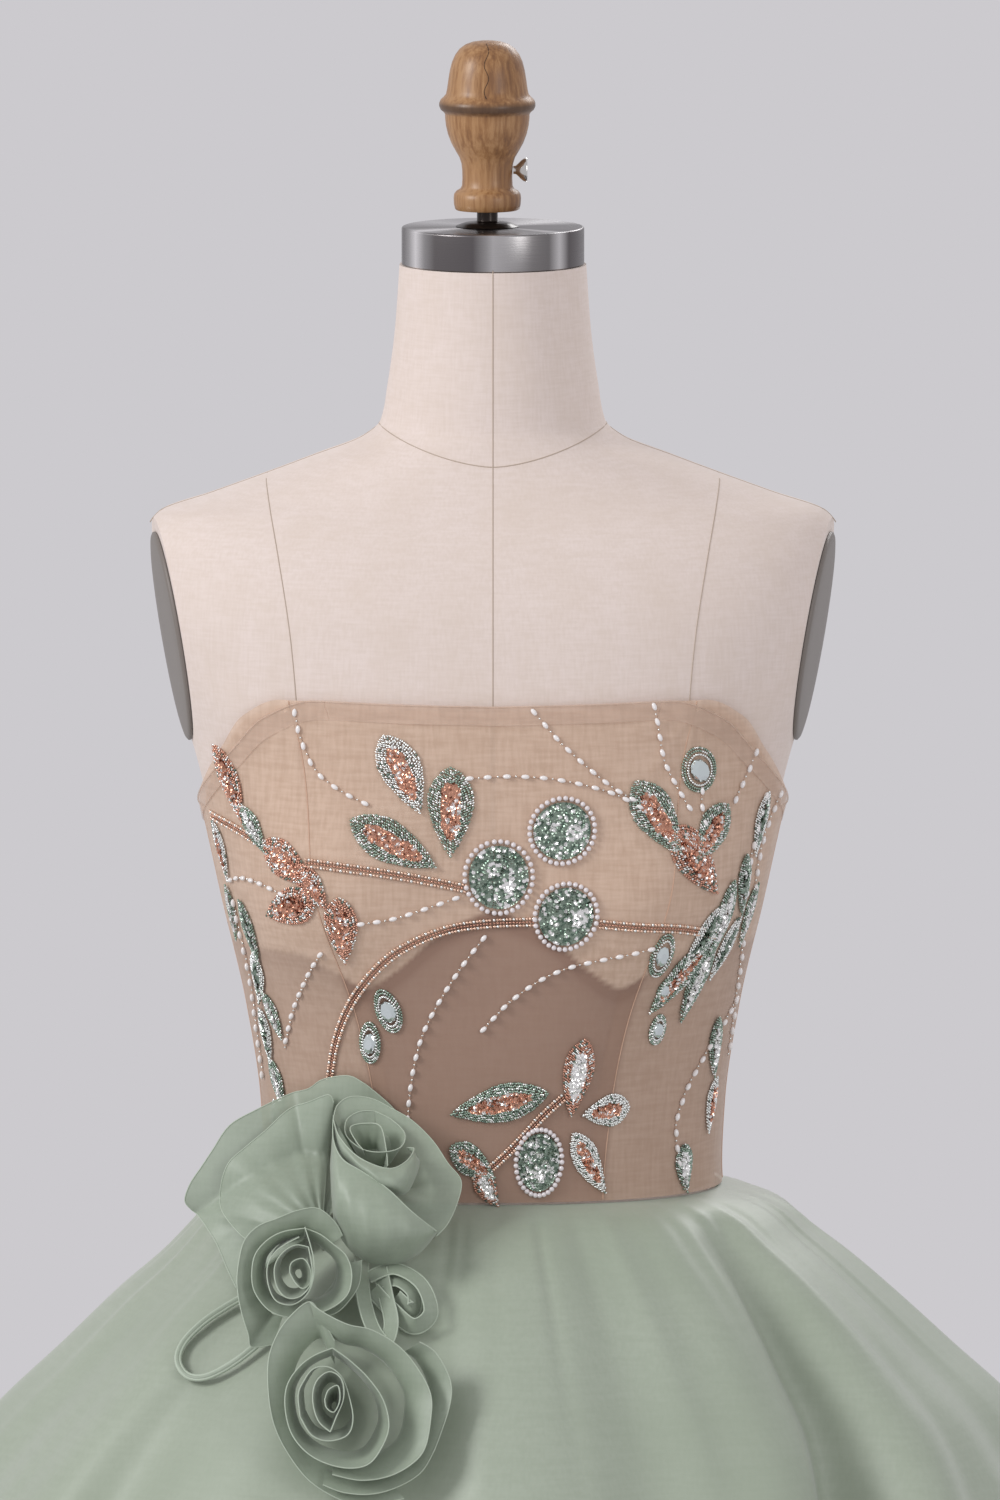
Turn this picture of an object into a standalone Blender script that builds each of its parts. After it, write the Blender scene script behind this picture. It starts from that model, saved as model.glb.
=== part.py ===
"""Strapless homecoming dress worn on a limbless dress form that stands on a plain round base.

The frame is Z up, with the origin under the middle of the base. The dress faces -Y, and +X is to
the right of someone who looks at its front. Points of the form and the dress are worked out in
millimetres from the waist seam, and turned to metres in the floor frame as each mesh is made.
"Turn" is an angle round the body in degrees, from 0 at centre front, through 90 at +X, to 180 at
centre back.
"""
import math
from bisect import bisect
from collections import namedtuple

import bmesh
import bpy
from mathutils import Matrix, Vector
from mathutils.geometry import delaunay_2d_cdt

MM = 0.001
WAIST_HEIGHT = 1040.0       # floor to waist seam
SEAM_GAP = 0.3              # between pieces that are sewn to each other

# Stand
BASE_RADIUS = 190.0
BASE_THICKNESS = 10.0
HUB_RADIUS = 42.0
HUB_HEIGHT = 34.0
POLE_RADIUS = 15.0
FLANGE_RADIUS = 60.0
FLANGE_THICKNESS = 5.0

# Neck cap, finial and its screw
NECK_LEAN = 8.0             # the neck's axis lies this far behind the waist's
CAP_RADIUS = 49.0
CAP_BOTTOM = 495.0
CAP_TOP = 515.0
FINIAL_SHIFT = -3.0         # the finial and its stem stand this far from the cap's middle
STEM_RADIUS = 5.6
BOSS_RADIUS = 17.0
BOSS_HEIGHT = 2.4
FINIAL_BOTTOM = 524.0
SCREW_HEIGHT = 545.5
SCREW_START = 10.9
ARM_PLATE_TILT = 0.13       # how far the plates face the front: sideways shift per depth
ARM_PLATE_LEAN = 0.165      # how far they draw in downwards: sideways shift per height
ARM_PLATE_TOP = 352.0
ARM_PLATE_TOP_REACH = 181.0
ARM_PLATE_HALF_HEIGHT = 57.0
ARM_PLATE_HALF_DEPTH = 43.0
ARM_PLATE_THICKNESS = 3.0

# Layers on the body, each as its distance out from the body's own lines
FORM_SKIN = -0.9
CUP_INSIDE = 0.2
CUP_OUTSIDE = 1.2
BODICE_INSIDE = 2.5
BODICE_OUTSIDE = 3.5
SEQUIN_RELIEF = 1.3         # padded leaves and discs on the bodice
GEM_RELIEF = 2.4
ARC_HEIGHT = 150.0          # the motifs' places are measured round the bodice at this height
BONING_WIDTH = 9.0
SKIRT_WALL = 1.6
PETAL_WALL = 1.2

# Centre back zip
ZIP_HALF_WIDTH = 2.6
ZIP_OPENING = 3.0           # half the gap between the back panels where the zip runs
ZIP_SKIRT_LENGTH = 128.0    # how far the zip goes on below the waist seam, measured down
SLIDER_DROP = 10.0          # from the back neckline down to the slider's middle
SLIDER_SIZE = (7.0, 2.2, 9.0)
EAR_SIZE = (1.2, 2.8, 4.0)
PULL_WIDTH = 5.2
PULL_NECK = 2.4
PULL_LENGTH = 24.0
PULL_THICKNESS = 1.0
PULL_AXIS_OUT = 1.7         # hinge axis above the slider's plate

BodyRow = namedtuple("BodyRow", "height half_width front back shift square")
BODY_ROWS = (
    BodyRow(-230, 168, 118, 120, 0, 2.2),
    BodyRow(-180, 166, 117, 121, 0, 2.2),
    BodyRow(-120, 155, 109, 113, 0, 2.2),
    BodyRow(-60, 136, 97, 98, 0, 2.2),
    BodyRow(-20, 123, 90, 87, 0, 2.2),
    BodyRow(10, 120, 88, 83, 0, 2.2),
    BodyRow(43, 121.5, 90, 84, 0, 2.25),
    BodyRow(97, 129.5, 97, 89, 0, 2.3),
    BodyRow(151, 142, 103, 94, 0, 2.35),
    BodyRow(205, 154, 105, 98, 0, 2.35),
    BodyRow(240, 163, 103, 99, 0, 2.35),
    BodyRow(275, 177, 98, 99, 0, 2.35),
    BodyRow(310, 187, 92, 97, 0, 2.35),
    BodyRow(340, 189, 82, 92, 1, 2.3),
    BodyRow(354, 186, 75, 86, 2, 2.2),
    BodyRow(362, 180, 70, 80, 3, 2.1),
    BodyRow(372, 152, 65, 75, 4, 2.0),
    BodyRow(382, 124, 61, 70, 5, 2.0),
    BodyRow(392, 97, 58, 66, 6, 2.0),
    BodyRow(402, 71, 56, 62, 7, 2.0),
    BodyRow(410, 61.5, 55, 59, 8, 2.0),
    BodyRow(430, 57.5, 54, 56, 8, 2.0),
    BodyRow(460, 53.5, 52, 53, 8, 2.0),
    BodyRow(494.7, 51, 51, 51, 8, 2.0),
)
BUST_TURN = 34.0
BUST_HEIGHT = 163.0
BUST_RISE = 16.0
BUST_SPREAD_TURN = 21.0
BUST_SPREAD_HEIGHT = 46.0

NeckRow = namedtuple("NeckRow", "turn height")
NECKLINE = (
    NeckRow(0, 268.5), NeckRow(20, 269.5), NeckRow(36, 270.5), NeckRow(48, 261), NeckRow(60, 241),
    NeckRow(75, 219), NeckRow(90, 205), NeckRow(115, 196), NeckRow(180, 192),
)
SeamRow = namedtuple("SeamRow", "height front side back")
SEAMS = (
    SeamRow(0, 26.5, 90, 146), SeamRow(60, 28, 90, 143), SeamRow(125, 31, 90, 140),
    SeamRow(190, 34, 90, 139), SeamRow(272, 34.5, 90, 139),
)
CupRow = namedtuple("CupRow", "turn lower_edge")
CUP_EDGE = (
    CupRow(0, 160), CupRow(8, 148), CupRow(18, 127), CupRow(26, 117), CupRow(33, 126),
    CupRow(42, 134), CupRow(90, 134),
)

# Padded motifs on the bodice. Round is the distance round the bust from centre front, and lean
# the direction of the long side, in degrees from straight up towards +X.
Leaf = namedtuple("Leaf", "round height length width lean")
Disc = namedtuple("Disc", "round height across up")
Gem = namedtuple("Gem", "round height across up lean")
FRONT_LEAVES = (
    Leaf(-43, 233, 41, 18, -23), Leaf(-20.5, 213, 45, 19, 1), Leaf(-50, 197, 46, 17, -60),
    Leaf(80, 213, 36, 15, -40), Leaf(124, 177, 37, 13, -50), Leaf(130, 200, 27, 12, 60),
    Leaf(-109, 183, 30, 14, -62), Leaf(-113, 160, 34, 13, 78), Leaf(-79, 148, 27, 11, 11),
    Leaf(-147, 221, 30, 12, -15), Leaf(-132, 198, 23, 8, -57),
    Leaf(6, 53, 58, 14, 80), Leaf(56.5, 65, 37, 14, 3), Leaf(68, 48, 17, 10, 80),
    Leaf(64, 21, 27, 11, -35), Leaf(-12, 19, 31, 13, -73),
    Leaf(-157, 140, 26, 9.5, 2), Leaf(-162, 111, 24, 8.5, 4), Leaf(-169, 77, 28, 8.5, -2),
    Leaf(125, 121, 38, 12, 40), Leaf(146, 118, 32, 9, 20), Leaf(152, 152, 26, 11, 46),
    Leaf(172, 196, 33, 8.5, -33), Leaf(172, 56, 34, 8.5, -20),
)
FRONT_DISCS = (
    Disc(3, 178, 16, 17.5), Disc(34.5, 203, 15.5, 16.5), Disc(39.5, 157, 15.5, 17),
    Disc(36, 24, 14, 16),
)
FRONT_GEMS = (
    Gem(109, 234, 16, 19, -18), Gem(-63, 105, 12.5, 20, 7), Gem(-75, 85, 10, 17, 10),
    Gem(100, 126, 11, 21, -20), Gem(122, 89, 10, 17, -15), Gem(150, 16, 10, 18, -20),
)
# The back carries a thinner spray, the same on both sides of the zip.
BACK_MOTIFS = (
    Leaf(243, 152, 34, 13, 30), Leaf(264, 160, 28, 12, -35), Gem(246, 108, 11, 18, 0),
    Disc(283, 122, 14, 15), Leaf(262, 70, 34, 13, 60), Leaf(292, 62, 28, 11, -30),
    Leaf(342, 152, 32, 13, 25), Gem(352, 112, 11, 17, -10), Disc(344, 66, 13, 14),
)


def mirrored(motif):
    """The same motif on the other side of centre front."""
    if isinstance(motif, Disc):
        return motif._replace(round=-motif.round)
    return motif._replace(round=-motif.round, lean=-motif.lean)


MOTIFS = (FRONT_LEAVES + FRONT_DISCS + FRONT_GEMS + BACK_MOTIFS
          + tuple(mirrored(motif) for motif in BACK_MOTIFS))

SkirtRow = namedtuple("SkirtRow", "drop left right front back square")
SKIRT_ROWS = (
    SkirtRow(1.1, 122.4, 122.4, 90.4, 86.8, 2.2),
    SkirtRow(2.6, 129, 129, 97, 93, 2.2),
    SkirtRow(6, 141, 142, 109, 106, 2.15),
    SkirtRow(13, 153, 157, 123, 121, 2.1),
    SkirtRow(24, 163, 170, 137, 134, 2.1),
    SkirtRow(38, 176, 188, 151, 149, 2.1),
    SkirtRow(60, 201, 213, 170, 170, 2.1),
    SkirtRow(88, 229, 243, 190, 193, 2.1),
    SkirtRow(121, 263, 278, 210, 216, 2.1),
    SkirtRow(170, 304, 312, 238, 248, 2.1),
    SkirtRow(230, 343, 347, 268, 282, 2.1),
    SkirtRow(325, 389, 391, 309, 325, 2.1),
    SkirtRow(430, 426, 426, 345, 362, 2.1),
)
SKIRT_COLUMN = 5.625        # degrees of turn between two columns of the skirt's points
FOLD_START = 8.0            # drop at which the folds begin

# Soft folds of the gathered skirt, from the viewer's left round the front and round the back.
# Rise is the fold's height at the hem, below zero for a trough. Drift is how far it turns on its
# way to the hem.
Fold = namedtuple("Fold", "turn drift spread rise")
FOLDS = (
    Fold(-166, -3, 11, -16), Fold(-150, 2, 10, 18), Fold(-136, -2, 9, -20), Fold(-122, 4, 11, 18),
    Fold(-104, -3, 10, -18), Fold(-88, 0, 10, 10), Fold(-67, -8, 9, -8), Fold(-50, -7, 9, 16),
    Fold(-41, -4, 8, -13), Fold(-27, -2, 10, 9), Fold(-8, 0, 8, -13), Fold(5, 1, 10, 9),
    Fold(19, -2, 8, -12), Fold(35, -16, 7, 12), Fold(47.5, -24, 9, -44), Fold(59, -26, 8, 20),
    Fold(76, -12, 9, -14), Fold(90, -6, 9, 12), Fold(102, 0, 10, -18), Fold(116, -2, 11, 18),
    Fold(133, 3, 10, -18), Fold(149, -3, 9, 16), Fold(163, 2, 9, -14), Fold(177, 0, 8, 12),
)

# Rolled organza roses. X and height place the middle of the rose's foot on the front view, and
# stand_off is its height off the cloth. The axis points out of the eye, the radii are those of
# the first and the last turn of the rolled edge, and deep and rim are their heights.
Rose = namedtuple(
    "Rose", "name x height stand_off axis turns start eye_radius edge_radius foot_share deep rim")
ROSES = (
    Rose("rose_top", -47, -6, -2.3, (-0.14, -0.66, 0.74), 2.6, 20, 13, 38, 0.5, 58, 48),
    Rose("rose_middle", -104, -31, 6.8, (-0.18, -0.97, 0.16), 3.3, 200, 6, 35, 0.45, 28, 22),
    Rose("rose_lower", -72, -95, -1.1, (-0.14, -0.97, 0.18), 4.2, 60, 5, 55, 0.38, 36, 24),
)
WALL_AT_RIM = 9.0           # least height of the outer petals above their foot

# Large petals that fan out to the viewer's left behind the roses. Reach is measured from the
# petal's root at each bearing, in degrees from +X through straight up.
PetalRow = namedtuple("PetalRow", "bearing outer_reach inner_reach")
PETAL_ROOT = (-76, -10)
PETAL_START = 0.3           # share of the reach at which the cloth begins
PETAL_ROWS = (
    PetalRow(80, 76, 58), PetalRow(100, 80, 62), PetalRow(120, 84, 66), PetalRow(140, 90, 70),
    PetalRow(158, 93, 72), PetalRow(172, 91, 70), PetalRow(186, 80, 60), PetalRow(198, 62, 46),
)
PETAL_LIFT = 0.4            # outer petal off the cloth, behind the roses
PETAL_SWELL = 16.0          # how much further it swells elsewhere
PETAL_LAYER = 3.75          # inner petal off the outer one at its root,
PETAL_LAYER_EDGE = 8.0      # and how much more at its edge
PETAL_FRONT = -58.0         # depth that they keep where they reach past the body's side

# Ribbon loops and the cord loop: places on the front view, with the height off the skirt
LoopRow = namedtuple("LoopRow", "x height off")
RIBBON_LOOPS = (
    ("ribbon_loop_outer", (
        LoopRow(-66, -32, 4.6), LoopRow(-52, -27, 10), LoopRow(-38, -34, 12),
        LoopRow(-33, -48, 10), LoopRow(-42, -55, 7), LoopRow(-54, -47, 4.6), LoopRow(-64, -38, 4.6),
    )),
    ("ribbon_loop_inner", (
        LoopRow(-59, -34, 4.6), LoopRow(-50, -33, 8), LoopRow(-42, -39, 9),
        LoopRow(-43, -47, 7), LoopRow(-52, -41, 4.8),
    )),
)
CORD_LOOP = (
    LoopRow(-122, -43, 3), LoopRow(-132, -46, 3), LoopRow(-143, -52, 3), LoopRow(-155, -60, 3),
    LoopRow(-165, -70, 2), LoopRow(-168, -79, 2), LoopRow(-163, -86, 2), LoopRow(-153, -86, 2),
    LoopRow(-139, -78, 3), LoopRow(-125, -67, 3), LoopRow(-115, -57, 3),
)
CORD_WIDTH = 3.8


def read_table(rows, key):
    """The values of a table at a key, on a smooth curve through its rows that never overshoots."""
    keys = [row[0] for row in rows]
    key = min(max(key, keys[0]), keys[-1])
    low = max(i for i in range(len(rows) - 1) if keys[i] <= key)
    spans = [b - a for a, b in zip(keys, keys[1:])]
    step = (key - keys[low]) / spans[low]
    values = []
    for column in range(1, len(rows[0])):
        level = [row[column] for row in rows]
        slope = [(b - a) / s for a, b, s in zip(level, level[1:], spans)]
        ends = [end_slope(slope, spans, i) for i in (low, low + 1)]
        rise = 3 * step ** 2 - 2 * step ** 3
        bow_in = (step ** 3 - 2 * step ** 2 + step) * spans[low] * ends[0]
        bow_out = (step ** 3 - step ** 2) * spans[low] * ends[1]
        values.append(level[low] * (1 - rise) + level[low + 1] * rise + bow_in + bow_out)
    return values


def end_slope(slope, spans, i):
    """Slope of the curve at row i: a mean of the slopes beside it, or 0 at a turning point."""
    if i == 0 or i == len(slope):
        return slope[min(i, len(slope) - 1)]
    if slope[i - 1] * slope[i] <= 0:
        return 0.0
    before = 2 * spans[i] + spans[i - 1]
    after = spans[i] + 2 * spans[i - 1]
    return (before + after) / (before / slope[i - 1] + after / slope[i])


def oval(turn, half_width, front, back, square):
    """Point of a horizontal section: an oval with its own depth in front and behind."""
    across = math.sin(math.radians(turn))
    ahead = math.cos(math.radians(turn))
    depth = front if ahead > 0 else back
    x = half_width * math.copysign(abs(across) ** (2 / square), across)
    y = -depth * math.copysign(abs(ahead) ** (2 / square), ahead)
    return Vector((x, y))


def oval_normal(turn, *section):
    """Level direction straight out of a section."""
    run = oval(turn + 0.5, *section) - oval(turn - 0.5, *section)
    return Vector((-run.y, run.x)).normalized() * -1


def bust_rise(turn, height):
    """How far the bust lifts the form's front, the same on both sides."""
    aside = (abs(turn) - BUST_TURN) / BUST_SPREAD_TURN
    above = (height - BUST_HEIGHT) / BUST_SPREAD_HEIGHT
    return BUST_RISE * math.exp(-aside ** 2 - above ** 2)


def body(turn, height, lift=0.0):
    """Point of the form's skin, moved straight out by a lift."""
    half_width, front, back, shift, square = read_table(BODY_ROWS, height)
    section = (half_width, front, back, square)
    out = oval_normal(turn, *section) * (lift + bust_rise(turn, height))
    point = oval(turn, *section) + out
    return Vector((point.x, point.y + shift, height))


def arm_reach(height, y):
    """How far out the flat of an armhole lies at a height and depth."""
    return ARM_PLATE_TOP_REACH - (ARM_PLATE_TOP - height) * ARM_PLATE_LEAN + y * ARM_PLATE_TILT


def turn_at(x, height):
    """Turn of the body's skin at a distance from the middle, on the front."""
    half_width, _, _, _, square = read_table(BODY_ROWS, height)
    return math.copysign(math.degrees(math.asin((abs(x) / half_width) ** (square / 2))), x)


def arc_table():
    """Distance round the bodice from centre front to each whole degree of turn."""
    lengths = [0.0]
    for turn in range(180):
        step = body(turn + 1, ARC_HEIGHT, BODICE_OUTSIDE) - body(turn, ARC_HEIGHT, BODICE_OUTSIDE)
        lengths.append(lengths[-1] + step.length)
    return lengths


def arc_at(turn):
    """Distance round the bodice at a turn."""
    low = min(int(abs(turn)), 179)
    share = abs(turn) - low
    return math.copysign(ARC[low] * (1 - share) + ARC[low + 1] * share, turn)


def turn_of(arc):
    """Turn at a distance round the bodice."""
    low = max(0, min(bisect(ARC, abs(arc)) - 1, 179))
    share = (abs(arc) - ARC[low]) / (ARC[low + 1] - ARC[low])
    return math.copysign(low + share, arc)


ARC = arc_table()


def neckline(turn):
    """Height of the bodice's top edge."""
    return read_table(NECKLINE, abs(turn))[0]


def fold_rise(turn, drop):
    """How far the folds move the skirt's cloth out at a place."""
    grown = max(0.0, drop - FOLD_START) / (SKIRT_ROWS[-1].drop - FOLD_START)
    total = 0.0
    for fold in FOLDS:
        aside = (turn - fold.turn - fold.drift * grown + 180) % 360 - 180
        if abs(aside) < fold.spread:
            total += fold.rise * (1 + math.cos(math.pi * aside / fold.spread)) / 2
    return total * grown ** 0.6


def skirt_section(drop, side):
    """Half width, depths and squareness of the skirt; a side below zero is the viewer's left."""
    left, right, front, back, square = read_table(SKIRT_ROWS, drop)
    return (left if side < 0 else right), front, back, square


def skirt_middle(turn, drop):
    """Point in the middle of the skirt's cloth."""
    section = skirt_section(drop, turn)
    point = oval(turn, *section) + oval_normal(turn, *section) * fold_rise(turn, drop)
    return Vector((point.x, point.y, -drop))


def skirt(turn, drop, lift):
    """Point of the skirt, moved off the middle of its cloth along the true normal."""
    above = max(drop - 1.5, SKIRT_ROWS[0].drop)
    below = min(drop + 1.5, SKIRT_ROWS[-1].drop)
    along = skirt_middle(turn + 0.7, drop) - skirt_middle(turn - 0.7, drop)
    down = skirt_middle(turn, below) - skirt_middle(turn, above)
    out = down.cross(along).normalized()
    return skirt_middle(turn, drop) + out * lift


def cloth_gap(point):
    """Level distance from a point, or from just below it, to the outside of the dress; below
    zero inside it."""
    return min(level_gap(point), level_gap(point - Vector((0.0, 0.0, 2.5))))


def level_gap(point):
    """Level distance from a point to the outside of the dress."""
    drop = -point.z
    if drop < SKIRT_ROWS[0].drop:
        half_width, front, back, _, square = read_table(BODY_ROWS, point.z)
        middle = Vector((point.x, point.y))
        lift = BODICE_OUTSIDE
    else:
        half_width, front, back, square = skirt_section(drop, point.x)
        middle = Vector((point.x, point.y))
        lift = SKIRT_WALL
    depth = front if point.y < 0 else back
    across = (abs(middle.x) / half_width) ** square
    ahead = (abs(middle.y) / depth) ** square
    share = (across + ahead) ** (1 / square)
    turn = math.degrees(math.atan2(across ** 0.5, ahead ** 0.5))
    turn = math.copysign(turn if point.y < 0 else 180 - turn, point.x)
    if drop >= SKIRT_ROWS[0].drop:
        lift += fold_rise(turn, drop)
    else:
        lift += bust_rise(turn, point.z)
    return middle.length * (1 - 1 / share) - lift


def seated(point, direction, clearance, reach=60.0):
    """The place where a point that moves back along a direction lies just clear of the dress."""
    near, far = -reach, reach
    for _ in range(24):
        middle = (near + far) / 2
        if cloth_gap(point + direction * middle) > clearance:
            far = middle
        else:
            near = middle
    return point + direction * far


# ---------------------------------------------------------------- making objects

def clear_scene():
    for item in list(bpy.data.objects):
        bpy.data.objects.remove(item, do_unlink=True)


def finish(name, colour, roughness, metallic=0.0):
    """A plain Principled material; the colour is linear red, green and blue."""
    material = bpy.data.materials.new(name)
    material.use_nodes = True
    shader = material.node_tree.nodes["Principled BSDF"]
    shader.inputs["Base Color"].default_value = (*colour, 1.0)
    shader.inputs["Roughness"].default_value = roughness
    shader.inputs["Metallic"].default_value = metallic
    return material


def add_object(name, data, material, smooth_angle=40.0):
    item = bpy.data.objects.new(name, data)
    parts.objects.link(item)
    item.data.materials.append(material)
    if isinstance(data, bpy.types.Mesh):
        data.shade_smooth()
        data.set_sharp_from_angle(angle=math.radians(smooth_angle))
    return item


def add_faces(name, points, faces, material):
    """An object of points in millimetres from the waist seam, with all its faces turned out."""
    mesh = bmesh.new()
    corners = [mesh.verts.new((p.x * MM, p.y * MM, (p.z + WAIST_HEIGHT) * MM)) for p in points]
    for face in faces:
        mesh.faces.new([corners[i] for i in face])
    bmesh.ops.recalc_face_normals(mesh, faces=mesh.faces)
    data = bpy.data.meshes.new(name)
    mesh.to_mesh(data)
    mesh.free()
    return add_object(name, data, material)


def edge_of_grid(rows, columns):
    """Row and column of each point round a grid's edge, in order."""
    bottom = [(0, column) for column in range(columns - 1)]
    right = [(row, columns - 1) for row in range(rows - 1)]
    top = [(rows - 1, column) for column in range(columns - 1, 0, -1)]
    left = [(row, 0) for row in range(rows - 1, 0, -1)]
    return bottom + right + top + left


def grid_faces(rows, columns, first):
    """Triangles of a grid of points, all split the same way."""
    faces = []
    for row in range(rows - 1):
        for column in range(columns - 1):
            corner = first + row * columns + column
            across, up = corner + 1, corner + columns
            faces += [(corner, across, up + 1), (corner, up + 1, up)]
    return faces


def add_wall(name, outer, inner, material):
    """A cloth wall between two grids of points, closed all round its edge."""
    rows, columns = len(outer), len(outer[0])
    size = rows * columns
    points = [p for row in outer for p in row] + [p for row in inner for p in row]
    faces = grid_faces(rows, columns, 0)
    faces += [face[::-1] for face in grid_faces(rows, columns, size)]
    rim = [row * columns + column for row, column in edge_of_grid(rows, columns)]
    for a, b in zip(rim, rim[1:] + rim[:1]):
        faces.append((a, a + size, b + size, b))
    return add_faces(name, points, faces, material)


def add_turned(name, profile, place, material, sides=32):
    """A turned piece: radius and height pairs from top to bottom, swept round Z."""
    data = bpy.data.meshes.new(name)
    points = [(radius * MM, 0.0, height * MM) for radius, height in profile]
    data.from_pydata(points, [(i, i + 1) for i in range(len(points) - 1)], [])
    item = bpy.data.objects.new(name, data)
    parts.objects.link(item)
    item.location = Vector(place) * MM
    data.materials.append(material)
    sweep = item.modifiers.new("Turning", "SCREW")
    sweep.steps = sides
    sweep.render_steps = sides
    sweep.use_merge_vertices = True
    sweep.merge_threshold = 0.00001
    sweep.use_smooth_shade = True
    return item


# ---------------------------------------------------------------- form and stand

def make_form():
    heights = [row.height for row in BODY_ROWS]
    rings = sorted(set(heights) | {-90, 70, 124, 178, 222, 257, 292})
    sides = 42
    points = []
    for height in rings:
        for step in range(sides):
            point = body(step * 360 / sides - 180, height, FORM_SKIN)
            reach = arm_reach(height, point.y)
            point.x = max(-reach, min(reach, point.x))
            points.append(point)
    faces = [tuple(range(sides)), tuple(len(points) - sides + i for i in range(sides))]
    for ring in range(len(rings) - 1):
        for step in range(sides):
            a = ring * sides + step
            b = ring * sides + (step + 1) % sides
            faces += [(a, b, b + sides), (a, b + sides, a + sides)]
    add_faces("form_torso", points, faces, linen)


def make_arm_plate(name, side):
    """Oval plate that closes an armhole, lying on the form's flat."""
    middle_height = ARM_PLATE_TOP - ARM_PLATE_HALF_HEIGHT
    normal = Vector((1.0, -ARM_PLATE_TILT, -ARM_PLATE_LEAN)).normalized()
    forward = Vector((ARM_PLATE_TILT, 1.0, 0.0)).normalized()
    upward = normal.cross(forward)
    centre = Vector((arm_reach(middle_height, 0.0), 0.0, middle_height))
    out = SEAM_GAP + ARM_PLATE_THICKNESS / 2
    mesh = bmesh.new()
    bmesh.ops.create_cone(mesh, cap_ends=True, segments=24, radius1=1.0, radius2=1.0, depth=1.0)
    frame = Matrix((forward * ARM_PLATE_HALF_DEPTH, upward * ARM_PLATE_HALF_HEIGHT,
                    normal * ARM_PLATE_THICKNESS)).transposed().to_4x4()
    for corner in mesh.verts:
        point = frame @ corner.co + centre + normal * out
        corner.co = Vector((side * point.x, point.y, point.z + WAIST_HEIGHT)) * MM
    mesh.normal_update()
    bmesh.ops.recalc_face_normals(mesh, faces=mesh.faces)
    data = bpy.data.meshes.new(name)
    mesh.to_mesh(data)
    mesh.free()
    item = add_object(name, data, plate_grey)
    edge = item.modifiers.new("Rounded edge", "BEVEL")
    edge.width = 1.0 * MM
    edge.segments = 1


def make_neck_pieces():
    top = WAIST_HEIGHT
    add_turned("neck_cap", (
        (0.0, CAP_TOP), (CAP_RADIUS - 2.5, CAP_TOP), (CAP_RADIUS - 0.7, CAP_TOP - 0.7),
        (CAP_RADIUS, CAP_TOP - 2.5), (CAP_RADIUS, CAP_BOTTOM), (0.0, CAP_BOTTOM),
    ), (0.0, NECK_LEAN, top), steel, 32)
    floor = CAP_TOP + SEAM_GAP
    add_turned("finial_stem", (
        (0.0, FINIAL_BOTTOM - SEAM_GAP), (STEM_RADIUS, FINIAL_BOTTOM - SEAM_GAP),
        (STEM_RADIUS, floor + BOSS_HEIGHT), (12.0, floor + BOSS_HEIGHT - 0.6),
        (BOSS_RADIUS, floor), (0.0, floor),
    ), (FINIAL_SHIFT, NECK_LEAN, top), dark_iron, 20)
    add_turned("neck_finial", (
        (0.0, 615.0), (8.0, 614.4), (14.6, 611.0), (18.6, 604.5), (20.8, 596.0), (22.2, 586.0),
        (25.0, 583.5), (25.8, 580.8), (25.0, 578.0), (22.8, 576.0), (22.4, 570.0),
        (20.0, 561.5), (14.2, 552.0), (13.4, 546.0), (13.6, 536.5),
        (17.4, 533.6), (18.1, 530.0), (17.0, FINIAL_BOTTOM), (0.0, FINIAL_BOTTOM),
    ), (FINIAL_SHIFT, NECK_LEAN, top), beech, 18)
    screw = add_turned("thumb_screw", (
        (0.0, 7.2), (3.0, 7.0), (5.4, 7.6), (6.7, 6.9), (6.0, 5.2), (3.6, 2.6), (2.3, 1.4),
        (2.3, 0.0), (0.0, 0.0),
    ), (SCREW_START, NECK_LEAN, top + SCREW_HEIGHT), nickel, 12)
    screw.rotation_euler = (0.0, math.radians(90), 0.0)
    screw.scale = (1.0, 0.72, 1.0)


def make_stand():
    top = BASE_THICKNESS
    add_turned("stand_base", (
        (0.0, top + HUB_HEIGHT), (POLE_RADIUS + 5, top + HUB_HEIGHT), (POLE_RADIUS + 8, top + 26),
        (HUB_RADIUS, top + 1.5), (BASE_RADIUS - 6, top), (BASE_RADIUS, top - 4),
        (BASE_RADIUS, 0.0), (0.0, 0.0),
    ), (0.0, 0.0, 0.0), enamel, 30)
    flange_top = WAIST_HEIGHT + BODY_ROWS[0].height - SEAM_GAP
    add_turned("stand_pole", (
        (0.0, flange_top), (FLANGE_RADIUS, flange_top),
        (FLANGE_RADIUS, flange_top - FLANGE_THICKNESS),
        (POLE_RADIUS + 6, flange_top - FLANGE_THICKNESS), (POLE_RADIUS + 6, flange_top - 40),
        (POLE_RADIUS, flange_top - 42), (POLE_RADIUS, top + HUB_HEIGHT + SEAM_GAP),
        (0.0, top + HUB_HEIGHT + SEAM_GAP),
    ), (0.0, 0.0, 0.0), steel, 20)


# ---------------------------------------------------------------- bodice

def seam(column, side):
    """The line of one seam: its turn at each height."""
    index = SeamRow._fields.index(column) - 1

    def line(height):
        return side * read_table(SEAMS, height)[index]
    return line


def centre_back(side):
    """The line of the zip's opening on one side."""
    def line(height):
        return side * (180 - turn_at(ZIP_OPENING, height))
    return line


def panel_places(left, right, columns, rows):
    """Turn and height of a panel's grid points, held clear of its seams."""
    places = []
    for row in range(rows + 1):
        line = []
        for column in range(columns + 1):
            across = column / columns
            top = neckline(left(260) * (1 - across) + right(260) * across)
            height = SEAM_GAP / 2 + (top - SEAM_GAP / 2) * row / rows
            low = arc_at(left(height)) + SEAM_GAP / 2
            high = arc_at(right(height)) - SEAM_GAP / 2
            line.append((turn_of(low + (high - low) * across), height))
        places.append(line)
    return places


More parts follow.
